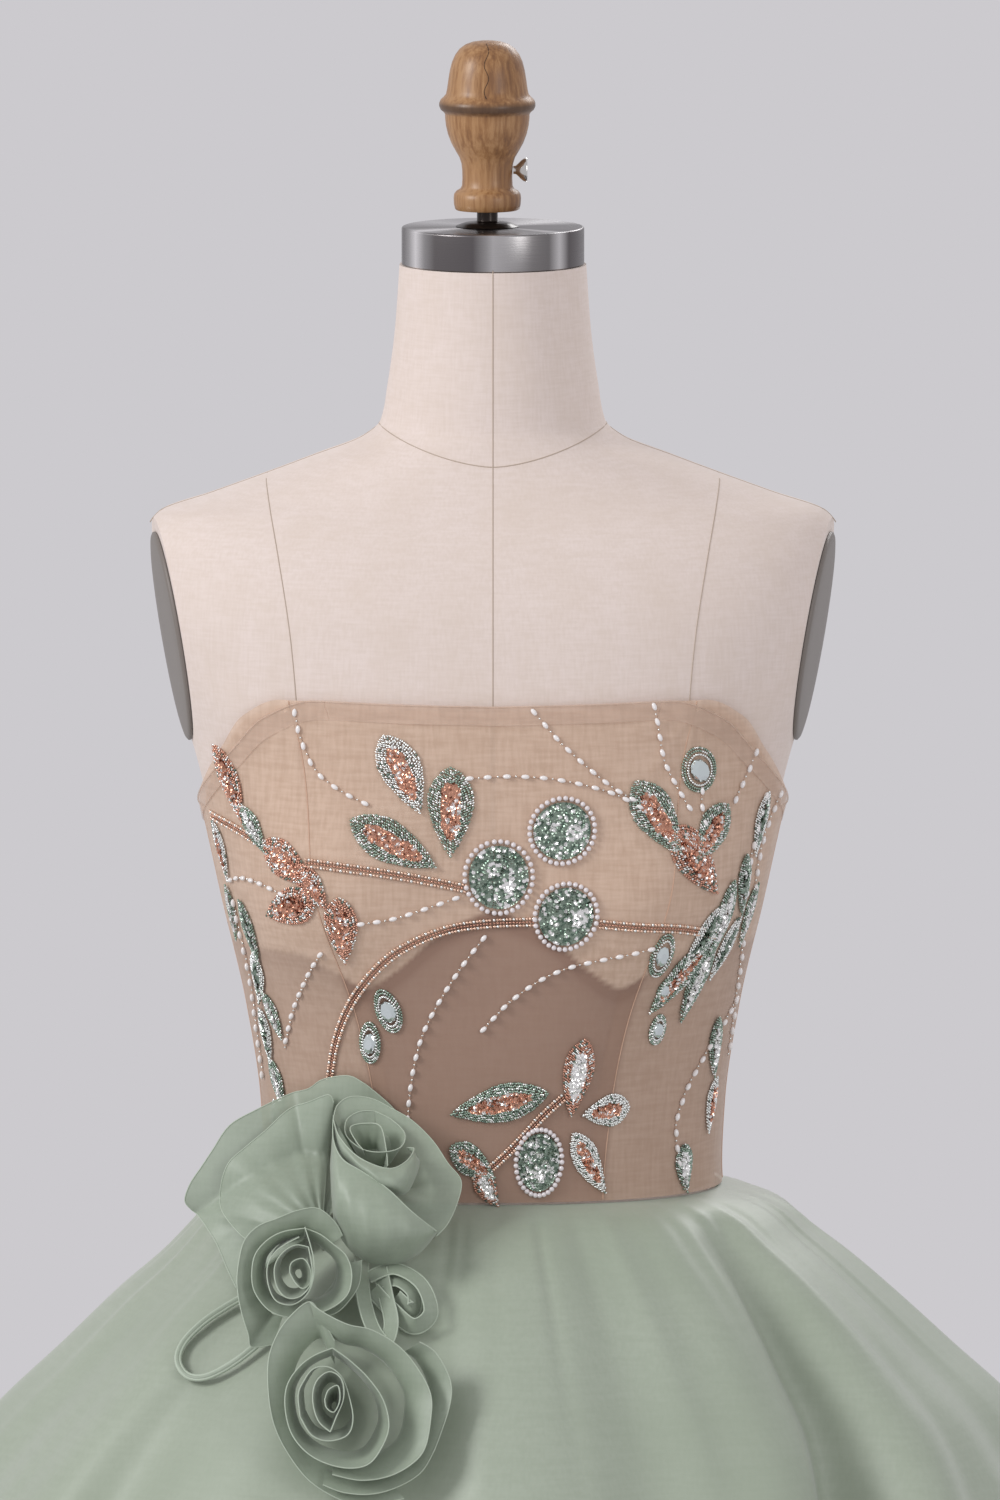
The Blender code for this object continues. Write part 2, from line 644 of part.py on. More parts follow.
def ring_of_points(count, reach, pointed):
    """Points of an oval of half sizes 1 and reach, with its ends drawn to points."""
    ring = []
    for step in range(count):
        angle = 2 * math.pi * step / count
        across = math.sin(angle) * abs(math.sin(angle)) ** pointed
        ring.append((math.cos(angle) * reach[1], across * reach[0]))
    return ring


def motif_loops(motif):
    """Foot and top outline of one motif, in millimetres round and up the bodice."""
    if isinstance(motif, Leaf):
        count, half, pointed, lean = 10, (motif.width / 2, motif.length / 2), 0.45, motif.lean
        inset = (1.3, 3.2)
    elif isinstance(motif, Disc):
        count, half, pointed, lean = 12, (motif.across, motif.up), 0.0, 0.0
        inset = (1.4, 1.4)
    else:
        count, half, pointed, lean = 8, (motif.across / 2, motif.up / 2), 0.0, motif.lean
        inset = (1.6, 1.6)
    tilt = math.radians(lean)
    loops = []
    for shrink in (0.0, 1.0):
        reach = (half[0] - shrink * inset[0], half[1] - shrink * inset[1])
        loop = []
        for along, across in ring_of_points(count, reach, pointed):
            q = motif.round + along * math.sin(tilt) + across * math.cos(tilt)
            h = motif.height + along * math.cos(tilt) - across * math.sin(tilt)
            loop.append(Vector((q, h)))
        loops.append(loop)
    return loops


def inside_motif(q, h, motif, margin=2.5):
    """Whether a place lies on a motif or close beside it."""
    if isinstance(motif, Disc):
        half, lean = (motif.across, motif.up), 0.0
    elif isinstance(motif, Leaf):
        half, lean = (motif.width / 2, motif.length / 2), math.radians(motif.lean)
    else:
        half, lean = (motif.across / 2, motif.up / 2), math.radians(motif.lean)
    dq = q - motif.round
    dh = h - motif.height
    along = dq * math.sin(lean) + dh * math.cos(lean)
    across = dq * math.cos(lean) - dh * math.sin(lean)
    return (along / (half[1] + margin)) ** 2 + (across / (half[0] + margin)) ** 2 < 1


def make_panel(name, left, right, columns, rows):
    """One mesh panel: plain inside, with the motifs that lie on it raised outside."""
    places = panel_places(left, right, columns, rows)
    rim = edge_of_grid(rows + 1, columns + 1)
    motifs = [m for m in MOTIFS if left(m.height) < turn_of(m.round) < right(m.height)]

    flat = [Vector((arc_at(places[r][c][0]), places[r][c][1])) for r, c in rim]
    border = list(range(len(rim)))
    edges = []
    lifts = [BODICE_OUTSIDE] * len(flat)
    for motif in motifs:
        relief = GEM_RELIEF if isinstance(motif, Gem) else SEQUIN_RELIEF
        for loop, lift in zip(motif_loops(motif), (0.0, relief)):
            start = len(flat)
            flat += loop
            lifts += [BODICE_OUTSIDE + lift] * len(loop)
            edges += [(start + i, start + (i + 1) % len(loop)) for i in range(len(loop))]
    for row in places[1:-1]:
        for turn, height in row[1:-1]:
            if not any(inside_motif(arc_at(turn), height, motif) for motif in motifs):
                flat.append(Vector((arc_at(turn), height)))
                lifts.append(BODICE_OUTSIDE)

    spots, _, triangles, origins, _, _ = delaunay_2d_cdt(flat, edges, [border], 1, 0.0001)
    points = []
    new_index = {}
    for index, (spot, sources) in enumerate(zip(spots, origins)):
        lift = max(lifts[i] for i in sources)
        points.append(body(turn_of(spot.x), spot.y, lift))
        for source in sources:
            new_index[source] = index
    first = len(points)
    points += [body(turn, height, BODICE_INSIDE) for row in places for turn, height in row]
    faces = [tuple(face) for face in triangles]
    faces += [face[::-1] for face in grid_faces(rows + 1, columns + 1, first)]
    outer_rim = [new_index[i] for i in border]
    inner_rim = [first + r * (columns + 1) + c for r, c in rim]
    for i in range(len(rim)):
        j = (i + 1) % len(rim)
        faces.append((outer_rim[i], outer_rim[j], inner_rim[j], inner_rim[i]))
    add_faces(name, points, faces, mesh_nude)


def make_bodice():
    make_panel("bodice_front_centre", seam("front", -1), seam("front", 1), 14, 17)
    make_panel("bodice_front_left", seam("side", -1), seam("front", -1), 8, 14)
    make_panel("bodice_front_right", seam("front", 1), seam("side", 1), 8, 14)
    make_panel("bodice_side_back_left", seam("back", -1), seam("side", -1), 6, 9)
    make_panel("bodice_side_back_right", seam("side", 1), seam("back", 1), 6, 9)
    make_panel("bodice_back_left", centre_back(-1), seam("back", -1), 4, 8)
    make_panel("bodice_back_right", seam("back", 1), centre_back(1), 4, 8)


def make_cup(name, side):
    """Moulded cup and side facing, seen through the mesh."""
    columns, rows = 15, 9
    outer, inner = [], []
    for row in range(rows + 1):
        lines = [[], []]
        for column in range(columns + 1):
            turn = side * (0.2 + (87 - 0.2) * column / columns)
            low = read_table(CUP_EDGE, abs(turn))[0]
            height = low + (neckline(turn) - 3.0 - low) * row / rows
            lines[0].append(body(turn, height, CUP_OUTSIDE))
            lines[1].append(body(turn, height, CUP_INSIDE))
        outer.append(lines[0])
        inner.append(lines[1])
    add_wall(name, outer, inner, cup_nude)


def make_boning(name, side):
    """Boning channel beside the princess seam, from the waist to the cup."""
    line = seam("front", side)
    outer, inner = [], []
    steps = 8
    for step in range(steps + 1):
        height = 1.0 + (114.0 - 1.0) * step / steps
        seam_arc = arc_at(line(height))
        turns = [turn_of(seam_arc - side * away) for away in (0.0, BONING_WIDTH)]
        outer.append([body(turn, height, CUP_OUTSIDE) for turn in turns])
        inner.append([body(turn, height, CUP_INSIDE) for turn in turns])
    add_wall(name, outer, inner, boning_nude)


# ---------------------------------------------------------------- skirt

def skirt_places(left, right):
    """Turn and drop of a skirt panel's grid points; the zip's opening narrows below the zip."""
    columns = max(1, round((right - left) / SKIRT_COLUMN))
    rows = []
    for level in SKIRT_ROWS:
        line = []
        for column in range(columns + 1):
            turn = left + (right - left) * column / columns
            if column in (0, columns):
                opening = SEAM_GAP / 2
                if abs(turn) > 179 and level.drop <= ZIP_SKIRT_LENGTH + 5:
                    opening = ZIP_OPENING
                shift = edge_turn(turn, level.drop, opening)
                turn += shift if column == 0 else -shift
            line.append((turn, level.drop))
        rows.append(line)
    return rows


def edge_turn(turn, drop, opening):
    """Degrees of turn that a distance covers beside a seam of the skirt."""
    half_width, _, back, square = skirt_section(drop, turn)
    if abs(turn) > 179:
        return math.degrees(math.asin((opening / half_width) ** (square / 2)))
    return math.degrees(math.asin((opening / back) ** (square / 2)))


def make_skirt_panel(name, left, right):
    places = skirt_places(left, right)
    walls = [[[skirt(turn, drop, lift) for turn, drop in row] for row in places]
             for lift in (SKIRT_WALL / 2, -SKIRT_WALL / 2)]
    add_wall(name, walls[0], walls[1], organza)


def make_skirt():
    make_skirt_panel("skirt_front", -90, 90)
    make_skirt_panel("skirt_back_right", 90, 180)
    make_skirt_panel("skirt_back_left", -180, -90)


# ---------------------------------------------------------------- centre back zip

def make_zip():
    """Zip strip in the back opening, down the bodice and on into the skirt."""
    outer, inner = [], []
    steps = 9
    top = neckline(180) - 1.0
    for step in range(steps + 1):
        height = top + (1.5 - top) * step / steps
        aside = turn_at(ZIP_HALF_WIDTH, height)
        ends = (180 - aside, 180 + aside)
        outer.append([body(turn, height, BODICE_OUTSIDE) for turn in ends])
        inner.append([body(turn, height, BODICE_INSIDE) for turn in ends])
    for level in SKIRT_ROWS[1:]:
        if level.drop < ZIP_SKIRT_LENGTH:
            aside = edge_turn(180, level.drop, ZIP_HALF_WIDTH)
            ends = (180 - aside, 180 + aside)
            outer.append([skirt(turn, level.drop, SKIRT_WALL / 2) for turn in ends])
            inner.append([skirt(turn, level.drop, -SKIRT_WALL / 2) for turn in ends])
    add_wall("zip_strip", outer, inner, zip_nude)


def make_slider():
    height = neckline(180) - SLIDER_DROP
    plate_inside = body(180, height, BODICE_OUTSIDE).y + SEAM_GAP
    width, depth, length = SLIDER_SIZE
    ear_width, ear_depth, ear_length = EAR_SIZE
    axis_y = plate_inside + depth + PULL_AXIS_OUT
    blocks = [(0.0, plate_inside + depth / 2, 0.0, width, depth, length)]
    ear_x = PULL_NECK / 2 + SEAM_GAP + 0.1 + ear_width / 2
    for side in (-1, 1):
        blocks.append((side * ear_x, plate_inside + depth + ear_depth / 2 - 0.2, length / 2 - 2.6,
                       ear_width, ear_depth, ear_length))
    body_object = None
    for x, y, z, size_x, size_y, size_z in blocks:
        mesh = bmesh.new()
        bmesh.ops.create_cube(mesh, size=1.0)
        for corner in mesh.verts:
            corner.co = Vector((x + corner.co.x * size_x, y + corner.co.y * size_y,
                                WAIST_HEIGHT + height + z + corner.co.z * size_z)) * MM
        data = bpy.data.meshes.new("slider_block")
        mesh.to_mesh(data)
        mesh.free()
        if body_object is None:
            body_object = bpy.data.objects.new("zip_slider", data)
            parts.objects.link(body_object)
            data.materials.append(zip_metal)
        else:
            ear = bpy.data.objects.new("slider_ear", data)
            cutters.objects.link(ear)
            ear.hide_render = True
            ear.display_type = "WIRE"
            union = body_object.modifiers.new("Ear", "BOOLEAN")
            union.operation = "UNION"
            union.object = ear
    return Vector((0.0, axis_y, height + SLIDER_SIZE[2] / 2 - 2.6))


def make_pull(axis):
    """Pull tab hanging from the slider's ears, with its origin on the hinge axis."""
    outline = bpy.data.curves.new("zip_pull", "CURVE")
    outline.dimensions = "2D"
    outline.fill_mode = "BOTH"
    outline.extrude = PULL_THICKNESS / 2 * MM
    neck, half = PULL_NECK / 2, PULL_WIDTH / 2
    top, shoulder = 1.0, -4.0
    edge = [(-neck, top), (-neck, shoulder), (-half, shoulder - 2.5)]
    edge += [(half * math.cos(math.radians(a)), half - PULL_LENGTH + half * math.sin(math.radians(a)))
             for a in range(180, 361, 30)]
    edge += [(half, shoulder - 2.5), (neck, shoulder), (neck, top)]
    spline = outline.splines.new("POLY")
    spline.points.add(len(edge) - 1)
    for point, (x, y) in zip(spline.points, edge):
        point.co = (x * MM, y * MM, 0.0, 1.0)
    spline.use_cyclic_u = True
    item = bpy.data.objects.new("zip_pull", outline)
    parts.objects.link(item)
    outline.materials.append(zip_metal)
    item.location = Vector((axis.x, axis.y, axis.z + WAIST_HEIGHT)) * MM
    item.rotation_euler = (math.radians(90), 0.0, 0.0)
    weld = item.modifiers.new("Closed caps", "WELD")
    weld.merge_threshold = 0.00001


# ---------------------------------------------------------------- organza decoration

def rose_frame(rose):
    """Foot, axis and the two directions across a rose."""
    axis = Vector(rose.axis).normalized()
    right = Vector((0, 0, 1)).cross(axis).normalized() * -1
    foot = seated(Vector((rose.x, -90.0, rose.height)), Vector((0, -1, 0)), rose.stand_off, 120.0)
    return foot, axis, right, right.cross(axis)


def rose_points(rose, frame, around, across):
    """Point of a rolled rose: around runs from 0 at the eye to 1 at the last petal's end, and
    across from 0 at the foot to 1 at the rolled edge."""
    origin, axis, right, upward = frame
    angle = math.radians(rose.start) + around * rose.turns * 2 * math.pi
    spin = right * math.cos(angle) + upward * math.sin(angle)
    edge = rose.eye_radius + (rose.edge_radius - rose.eye_radius) * around ** 1.1
    edge *= 1 + 0.07 * around * math.sin(2.4 * angle + 1.0)
    foot = rose.foot_share * edge
    base = seated(origin + spin * foot, axis, rose.stand_off)
    level = (base - origin).dot(axis)
    top = rose.deep + (rose.rim - rose.deep) * around ** 1.5
    top = max(top * (1 + 0.06 * math.sin(1.7 * angle)), level + WALL_AT_RIM)
    radius = foot + (edge - foot) * across ** 1.5
    rise = level + (top - level) * across ** 0.8
    return origin + spin * radius + axis * rise


def sheet_normal(surface, u, v, step=0.01):
    """Direction straight out of a surface given by two shares."""
    u0, u1 = max(0.0, u - step), min(1.0, u + step)
    v0, v1 = max(0.0, v - step), min(1.0, v + step)
    return (surface(u1, v) - surface(u0, v)).cross(surface(u, v1) - surface(u, v0)).normalized()


def make_sheet(name, surface, columns, rows, thickness, material):
    """A wall of even thickness on a surface given by two shares."""
    outer, inner = [], []
    for row in range(rows + 1):
        outer.append([])
        inner.append([])
        for column in range(columns + 1):
            u, v = column / columns, row / rows
            out = sheet_normal(surface, u, v) * (thickness / 2)
            outer[-1].append(surface(u, v) + out)
            inner[-1].append(surface(u, v) - out)
    add_wall(name, outer, inner, material)


def make_roses():
    for rose in ROSES:
        def surface(around, across, rose=rose, frame=rose_frame(rose)):
            return rose_points(rose, frame, around, across)
        make_sheet(rose.name, surface, round(rose.turns * 12), 3, PETAL_WALL, organza_rose)


def petal_swell(x, z):
    """0 behind the roses and 1 well away from them, so that the petals lie flat under them."""
    swell = 1.0
    for rose in ROSES[:2]:
        middle = rose.height + 0.35 * rose.deep * rose.axis[2]
        away = math.hypot(x - rose.x, z - middle) / rose.edge_radius
        share = min(1.0, max(0.0, (away - 0.75) / 0.75))
        swell *= share * share * (3 - 2 * share)
    return swell


def draped_depth(x, z):
    """Depth of a petal laid over the dress at a place; it bridges the dip at the waist."""
    depths = [PETAL_FRONT]
    for below in (0, 8, 16, 24, 36):
        place = Vector((x, -70.0, z - below))
        depths.append(seated(place, Vector((0, -1, 0)), PETAL_LIFT, 160.0).y + below)
    return min(depths)


def petal_point(across, out, layer):
    """Point of a large petal: across runs over its bearings and out from root to edge."""
    first, last = PETAL_ROWS[0].bearing, PETAL_ROWS[-1].bearing
    bearing = first + (last - first) * across
    reach = read_table(PETAL_ROWS, bearing)[layer] * (PETAL_START + (1 - PETAL_START) * out)
    x = PETAL_ROOT[0] + reach * math.cos(math.radians(bearing))
    z = PETAL_ROOT[1] + reach * math.sin(math.radians(bearing))
    share = reach / read_table(PETAL_ROWS, bearing)[0]
    bow = math.sin(math.pi * min(1.0, share * 0.9)) ** 0.8
    free = petal_swell(x, z)
    y = draped_depth(x, z) - PETAL_SWELL * bow * free
    if layer:
        y -= PETAL_LAYER + PETAL_LAYER_EDGE * out * out * free
    return Vector((x, y, z))


def make_petals():
    for layer, name in enumerate(("petal_outer", "petal_inner")):
        def surface(across, out, layer=layer):
            return petal_point(across, out, layer)
        make_sheet(name, surface, 11, 5, PETAL_WALL, organza_rose)


def smooth_path(rows, count, closed):
    """Evenly spread points on a smooth curve through a loop table's rows."""
    total = len(rows)
    spans = total if closed else total - 1
    path = []
    for step in range(count + (0 if closed else 1)):
        place = spans * step / count
        low = min(int(place), spans - 1)
        t = place - low
        near = []
        for k in (low - 1, low, low + 1, low + 2):
            near.append(rows[k % total] if closed else rows[max(0, min(total - 1, k))])
        values = []
        for a, b, c, d in zip(*near):
            values.append(0.5 * (2 * b + (c - a) * t + (2 * a - 5 * b + 4 * c - d) * t ** 2
                                 + (3 * b - a - 3 * c + d) * t ** 3))
        x, height, off = values
        path.append(seated(Vector((x, -150.0, height)), Vector((0, -1, 0)), off, 140.0))
    return path


def make_ribbon_loops():
    for name, rows in RIBBON_LOOPS:
        path = smooth_path(rows, 16, False)
        out = Vector((0.0, -0.94, 0.34))
        outer, inner = [], []
        for i, point in enumerate(path):
            run = (path[min(i + 1, len(path) - 1)] - path[max(i - 1, 0)]).normalized()
            skin = run.cross(out).normalized() * (PETAL_WALL / 2)
            edge = out * 5.0
            outer.append([point - edge + skin, point + edge + skin])
            inner.append([point - edge - skin, point + edge - skin])
        add_wall(name, outer, inner, organza_rose)


def make_cord_loop():
    path = smooth_path(CORD_LOOP, 20, False)
    data = bpy.data.curves.new("cord_loop", "CURVE")
    data.dimensions = "3D"
    data.bevel_depth = CORD_WIDTH / 2 * MM
    data.bevel_resolution = 2
    data.use_fill_caps = True
    spline = data.splines.new("POLY")
    spline.points.add(len(path) - 1)
    for point, place in zip(spline.points, path):
        point.co = (place.x * MM, place.y * MM, (place.z + WAIST_HEIGHT) * MM, 1.0)
    item = bpy.data.objects.new("cord_loop", data)
    parts.objects.link(item)
    data.materials.append(organza_rose)


# ---------------------------------------------------------------- assembly

clear_scene()
parts = bpy.data.collections.new("homecoming_dress_on_form")
cutters = bpy.data.collections.new("cutters")
bpy.context.scene.collection.children.link(parts)
bpy.context.scene.collection.children.link(cutters)

linen = finish("natural linen", (0.75, 0.66, 0.58), 0.9)
plate_grey = finish("grey moulded plate", (0.22, 0.20, 0.19), 0.5)
steel = finish("brushed steel", (0.45, 0.45, 0.46), 0.3, 1.0)
dark_iron = finish("dark iron", (0.05, 0.035, 0.03), 0.5, 0.6)
beech = finish("turned and stained wood", (0.33, 0.17, 0.07), 0.45)
nickel = finish("nickel plate", (0.75, 0.75, 0.75), 0.15, 1.0)
enamel = finish("grey enamel", (0.35, 0.35, 0.36), 0.4)
mesh_nude = finish("nude tulle", (0.42, 0.27, 0.19), 0.8)
cup_nude = finish("nude cup lining", (0.52, 0.36, 0.27), 0.8)
boning_nude = finish("nude boning channel", (0.60, 0.45, 0.36), 0.7)
organza = finish("sage organza", (0.28, 0.36, 0.25), 0.5)
organza_rose = finish("sage organza petal", (0.33, 0.42, 0.30), 0.5)
zip_nude = finish("nude zip", (0.45, 0.32, 0.24), 0.5)
zip_metal = finish("zip metal", (0.55, 0.50, 0.45), 0.3, 1.0)

make_form()
make_arm_plate("arm_plate_right", 1)
make_arm_plate("arm_plate_left", -1)
make_neck_pieces()
make_stand()
make_bodice()
make_cup("cup_left", -1)
make_cup("cup_right", 1)
make_boning("boning_left", -1)
make_boning("boning_right", 1)
make_skirt()
make_zip()
make_pull(make_slider())
make_roses()
make_petals()
make_ribbon_loops()
make_cord_loop()
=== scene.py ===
"""A strapless homecoming dress on a limbless dress form, from the camera to the last bead.

Places on the form and the dress are in millimetres from the waist seam: X to the right of
someone who looks at its front, Y to the back, Z up. "Turn" is degrees round the body from centre
front, and "arc" the same as a distance round the bust.
"""
import math
import random
from bisect import bisect
from collections import namedtuple
from functools import lru_cache

import bmesh
import bpy
from mathutils import Matrix, Vector


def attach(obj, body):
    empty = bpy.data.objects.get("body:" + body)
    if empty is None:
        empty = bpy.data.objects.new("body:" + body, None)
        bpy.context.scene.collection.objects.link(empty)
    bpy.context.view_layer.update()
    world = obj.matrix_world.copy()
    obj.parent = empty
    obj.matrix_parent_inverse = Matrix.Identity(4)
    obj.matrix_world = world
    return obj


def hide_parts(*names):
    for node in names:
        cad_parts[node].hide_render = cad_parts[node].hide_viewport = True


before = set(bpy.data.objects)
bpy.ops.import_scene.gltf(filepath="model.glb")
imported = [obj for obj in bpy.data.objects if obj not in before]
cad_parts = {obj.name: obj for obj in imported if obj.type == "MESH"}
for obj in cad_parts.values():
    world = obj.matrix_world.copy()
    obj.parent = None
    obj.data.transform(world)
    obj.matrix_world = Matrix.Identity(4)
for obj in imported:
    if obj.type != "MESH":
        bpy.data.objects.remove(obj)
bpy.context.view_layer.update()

# ------------------------------------------------------------------ camera
# The photo was taken from some way off: a long lens 12 m away, looking 7 degrees down.

MM = 0.001
WAIST_HEIGHT = 1040.0
VIEW_DISTANCE = 12.0
VIEW_DOWN = math.radians(7.0)
VIEW_CENTRE = Vector((0.0038, 0.0, 1.273))

lens = bpy.data.cameras.new("photo_camera")
lens.sensor_fit = "VERTICAL"
lens.sensor_height = 36.0
lens.lens = 535.7
lens.clip_end = 60.0
camera = bpy.data.objects.new("photo_camera", lens)
bpy.context.scene.collection.objects.link(camera)
away = Vector((0.0, -math.cos(VIEW_DOWN), math.sin(VIEW_DOWN)))
camera.location = VIEW_CENTRE + away * VIEW_DISTANCE
camera.rotation_euler = away.to_track_quat("Z", "Y").to_euler()
bpy.context.scene.camera = camera

# ------------------------------------------------------------------ studio
# A pale sheet of paper lies on the floor, and the room round it is an even light grey. A large
# softbox stands high on the left, a weaker one on the right and a strip behind.


def linear_colour(code):
    """Linear red, green, blue and alpha of an sRGB hex colour."""
    shares = [int(code[i:i + 2], 16) / 255 for i in (1, 3, 5)]
    return [s / 12.92 if s <= 0.04045 else ((s + 0.055) / 1.055) ** 2.4 for s in shares] + [1.0]


def add_node(tree, kind, values=(), links=(), **settings):
    """One shader node: its options, the values of its sockets, and the sockets that feed it."""
    node = tree.nodes.new(kind)
    for option, choice in settings.items():
        setattr(node, option, choice)
    for socket, value in dict(values).items():
        node.inputs[socket].default_value = value
    for socket, source in dict(links).items():
        tree.links.new(source, node.inputs[socket])
    return node


def surface_of(name, colour, roughness, metallic=0.0, **sockets):
    """A material of one finish; returns it with its node tree and shader."""
    material = bpy.data.materials.new(name)
    material.use_nodes = True
    tree = material.node_tree
    shader = tree.nodes["Principled BSDF"]
    shader.inputs["Base Color"].default_value = linear_colour(colour)
    shader.inputs["Roughness"].default_value = roughness
    shader.inputs["Metallic"].default_value = metallic
    for socket, value in sockets.items():
        shader.inputs[socket.replace("_", " ")].default_value = value
    return material, tree, shader


def noise(tree, scale, detail, vector=None, **values):
    """The value of a noise texture."""
    links = {"Vector": vector} if vector else {}
    values.update(Scale=scale, Detail=detail)
    return add_node(tree, "ShaderNodeTexNoise", values, links).outputs["Fac"]


def bump(tree, shader, height, strength, distance):
    """Raises the surface by a height, up to a distance in metres."""
    node = add_node(tree, "ShaderNodeBump", {"Strength": strength, "Distance": distance},
                    {"Height": height})
    tree.links.new(node.outputs["Normal"], shader.inputs["Normal"])


scene = bpy.context.scene
scene.view_settings.view_transform = "Standard"
room = bpy.data.worlds.new("studio")
room.use_nodes = True
wall_light = room.node_tree.nodes["Background"].inputs
wall_light["Color"].default_value = linear_colour("#CCCACE")
wall_light["Strength"].default_value = 1.0
scene.world = room

# Matt paper, with a faint tooth that keeps it from looking like plastic.
paper, tree, shader = surface_of("matt floor paper", "#CFCDD0", 0.9)
bump(tree, shader, noise(tree, 900.0, 2.0), 0.1, 0.0002)

floor_mesh = bmesh.new()
bmesh.ops.create_circle(floor_mesh, cap_ends=True, segments=128, radius=2.2)
floor_data = bpy.data.meshes.new("studio_floor")
floor_mesh.to_mesh(floor_data)
floor_mesh.free()
floor = bpy.data.objects.new("studio_floor", floor_data)
floor.location = (0.0, 0.0, -0.0005)
floor_data.materials.append(paper)
scene.collection.objects.link(floor)

Softbox = namedtuple("Softbox", "name place size watts")
SOFTBOXES = (
    Softbox("key_softbox", (-3.4, -1.9, 3.3), (1.3, 1.6), 92.0),
    Softbox("fill_softbox", (2.6, -3.6, 2.2), (0.9, 1.8), 26.0),
    Softbox("back_strip", (1.2, 2.6, 2.9), (1.8, 0.8), 26.0),
)
for box in SOFTBOXES:
    lamp = bpy.data.lights.new(box.name, "AREA")
    lamp.shape = "RECTANGLE"
    lamp.size, lamp.size_y = box.size
    lamp.energy = box.watts
    holder = bpy.data.objects.new(box.name, lamp)
    holder.location = box.place
    aim = Vector((0.0, 0.0, 1.2)) - Vector(box.place)
    holder.rotation_euler = aim.to_track_quat("-Z", "Y").to_euler()
    scene.collection.objects.link(holder)

# ------------------------------------------------------------------ stand
# A heavy round plate of enamelled steel carries a steel tube. Its flange is screwed to the
# underside of the form.


def floor_point(point):
    """A place in millimetres from the waist seam, in metres from the floor."""
    return Vector((point.x, point.y, point.z + WAIST_HEIGHT)) * MM


def make_piece(name, points, faces, material, smooth_angle=40.0):
    """A mesh piece of points in millimetres from the waist seam."""
    data = bpy.data.meshes.new(name)
    data.from_pydata([floor_point(p) for p in points], [], faces)
    data.shade_smooth()
    data.set_sharp_from_angle(angle=math.radians(smooth_angle))
    data.materials.append(material)
    piece = bpy.data.objects.new(name, data)
    scene.collection.objects.link(piece)
    return piece


def fasten(piece, slot, *nodes, body="dress_and_form"):
    """The piece rides on a body and stands for some solids, which are hidden; the slot is not used."""
    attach(piece, body)
    if nodes:
        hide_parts(*nodes)
    return piece


def ring_faces(rings, sides):
    """Faces between rings of points that follow one another."""
    faces = []
    for first in range(0, (rings - 1) * sides, sides):
        for step in range(sides):
            a, b = first + step, first + (step + 1) % sides
            faces.append((a, a + sides, b + sides, b))
    return faces


def turned(name, profile, place, material, sides=128, squash=None):
    """A turned piece: radius and height pairs from top to bottom, swept round Z."""
    points = []
    for radius, height in profile:
        for step in range(sides):
            angle = 2 * math.pi * step / sides
            reach = radius * (squash(angle, height) if squash else 1.0)
            spin = Vector((math.cos(angle), math.sin(angle), 0.0))
            points.append(place + spin * reach + Vector((0.0, 0.0, height)))
    faces = ring_faces(len(profile), sides)
    faces.append(tuple(range(sides)))
    faces.append(tuple(reversed(range(len(points) - sides, len(points)))))
    return make_piece(name, points, faces, material)


def rounded(profile, turns):
    """A profile with its corners rounded: turns gives the radius at each point's index."""
    path = []
    for i, (radius, height) in enumerate(profile):
        bend = turns.get(i, 0.0)
        if not bend:
            path.append((radius, height))
            continue
        here = Vector((radius, height))
        start = here + (Vector(profile[i - 1]) - here).normalized() * bend
        end = here + (Vector(profile[i + 1]) - here).normalized() * bend
        for step in range(6):
            share = step / 5
            spot = start * (1 - share) ** 2 + here * 2 * share * (1 - share) + end * share ** 2
            path.append((spot.x, spot.y))
    return path


def in_object(tree):
    """Places on a piece in metres, for its pattern."""
    return add_node(tree, "ShaderNodeTexCoord").outputs["Object"]


def scaled(tree, vector, scale):
    """Places scaled along each axis."""
    return add_node(tree, "ShaderNodeMapping", {"Scale": scale},
                    {"Vector": vector}).outputs["Vector"]


def ranged(tree, value, **ends):
    """A value carried from one range over to another."""
    ends = {end.replace("_", " "): number for end, number in ends.items()}
    return add_node(tree, "ShaderNodeMapRange", ends, {"Value": value}).outputs["Result"]


def maths(tree, operation, value, other):
    """One sum on a value and a number or another value."""
    numbers, links = {}, {0: value}
    (numbers if isinstance(other, float) else links)[1] = other
    return add_node(tree, "ShaderNodeMath", numbers, links, operation=operation).outputs["Value"]


# Grey stoving enamel: smooth and satin, with the faint orange peel of sprayed paint.
enamel, tree, shader = surface_of("stoved grey enamel", "#9A9A9C", 0.35)
bump(tree, shader, noise(tree, 350.0, 1.0), 0.15, 0.0003)

floor_place = Vector((0.0, 0.0, -WAIST_HEIGHT))
plate_profile = rounded(
    [(0.001, 44.0), (20.0, 44.0), (23.0, 36.0), (42.0, 11.5), (184.0, 10.0), (190.0, 6.0),
     (190.0, 0.0), (0.001, 0.0)], {1: 1.5, 3: 4.0, 4: 3.0, 5: 2.0, 6: 0.6})
base = turned("enamelled_base", plate_profile, floor_place, enamel, 160)
fasten(base, "enamel", "stand_base")

# Stainless steel: drawn tube and turned parts, brushed round. Lamps and dark walls show in it as
# upright bands; the plain room here has none to mirror, so they are drawn in.
brushed_steel, tree, shader = surface_of("brushed stainless steel", "#B4B2B2", 0.27, 1.0,
                                         Anisotropic=0.5)
place = in_object(tree)
lines = noise(tree, 1.0, 3.0, scaled(tree, place, (30.0, 30.0, 2600.0)))
tree.links.new(ranged(tree, lines, To_Min=0.2, To_Max=0.36), shader.inputs["Roughness"])
bump(tree, shader, lines, 0.12, 0.0001)

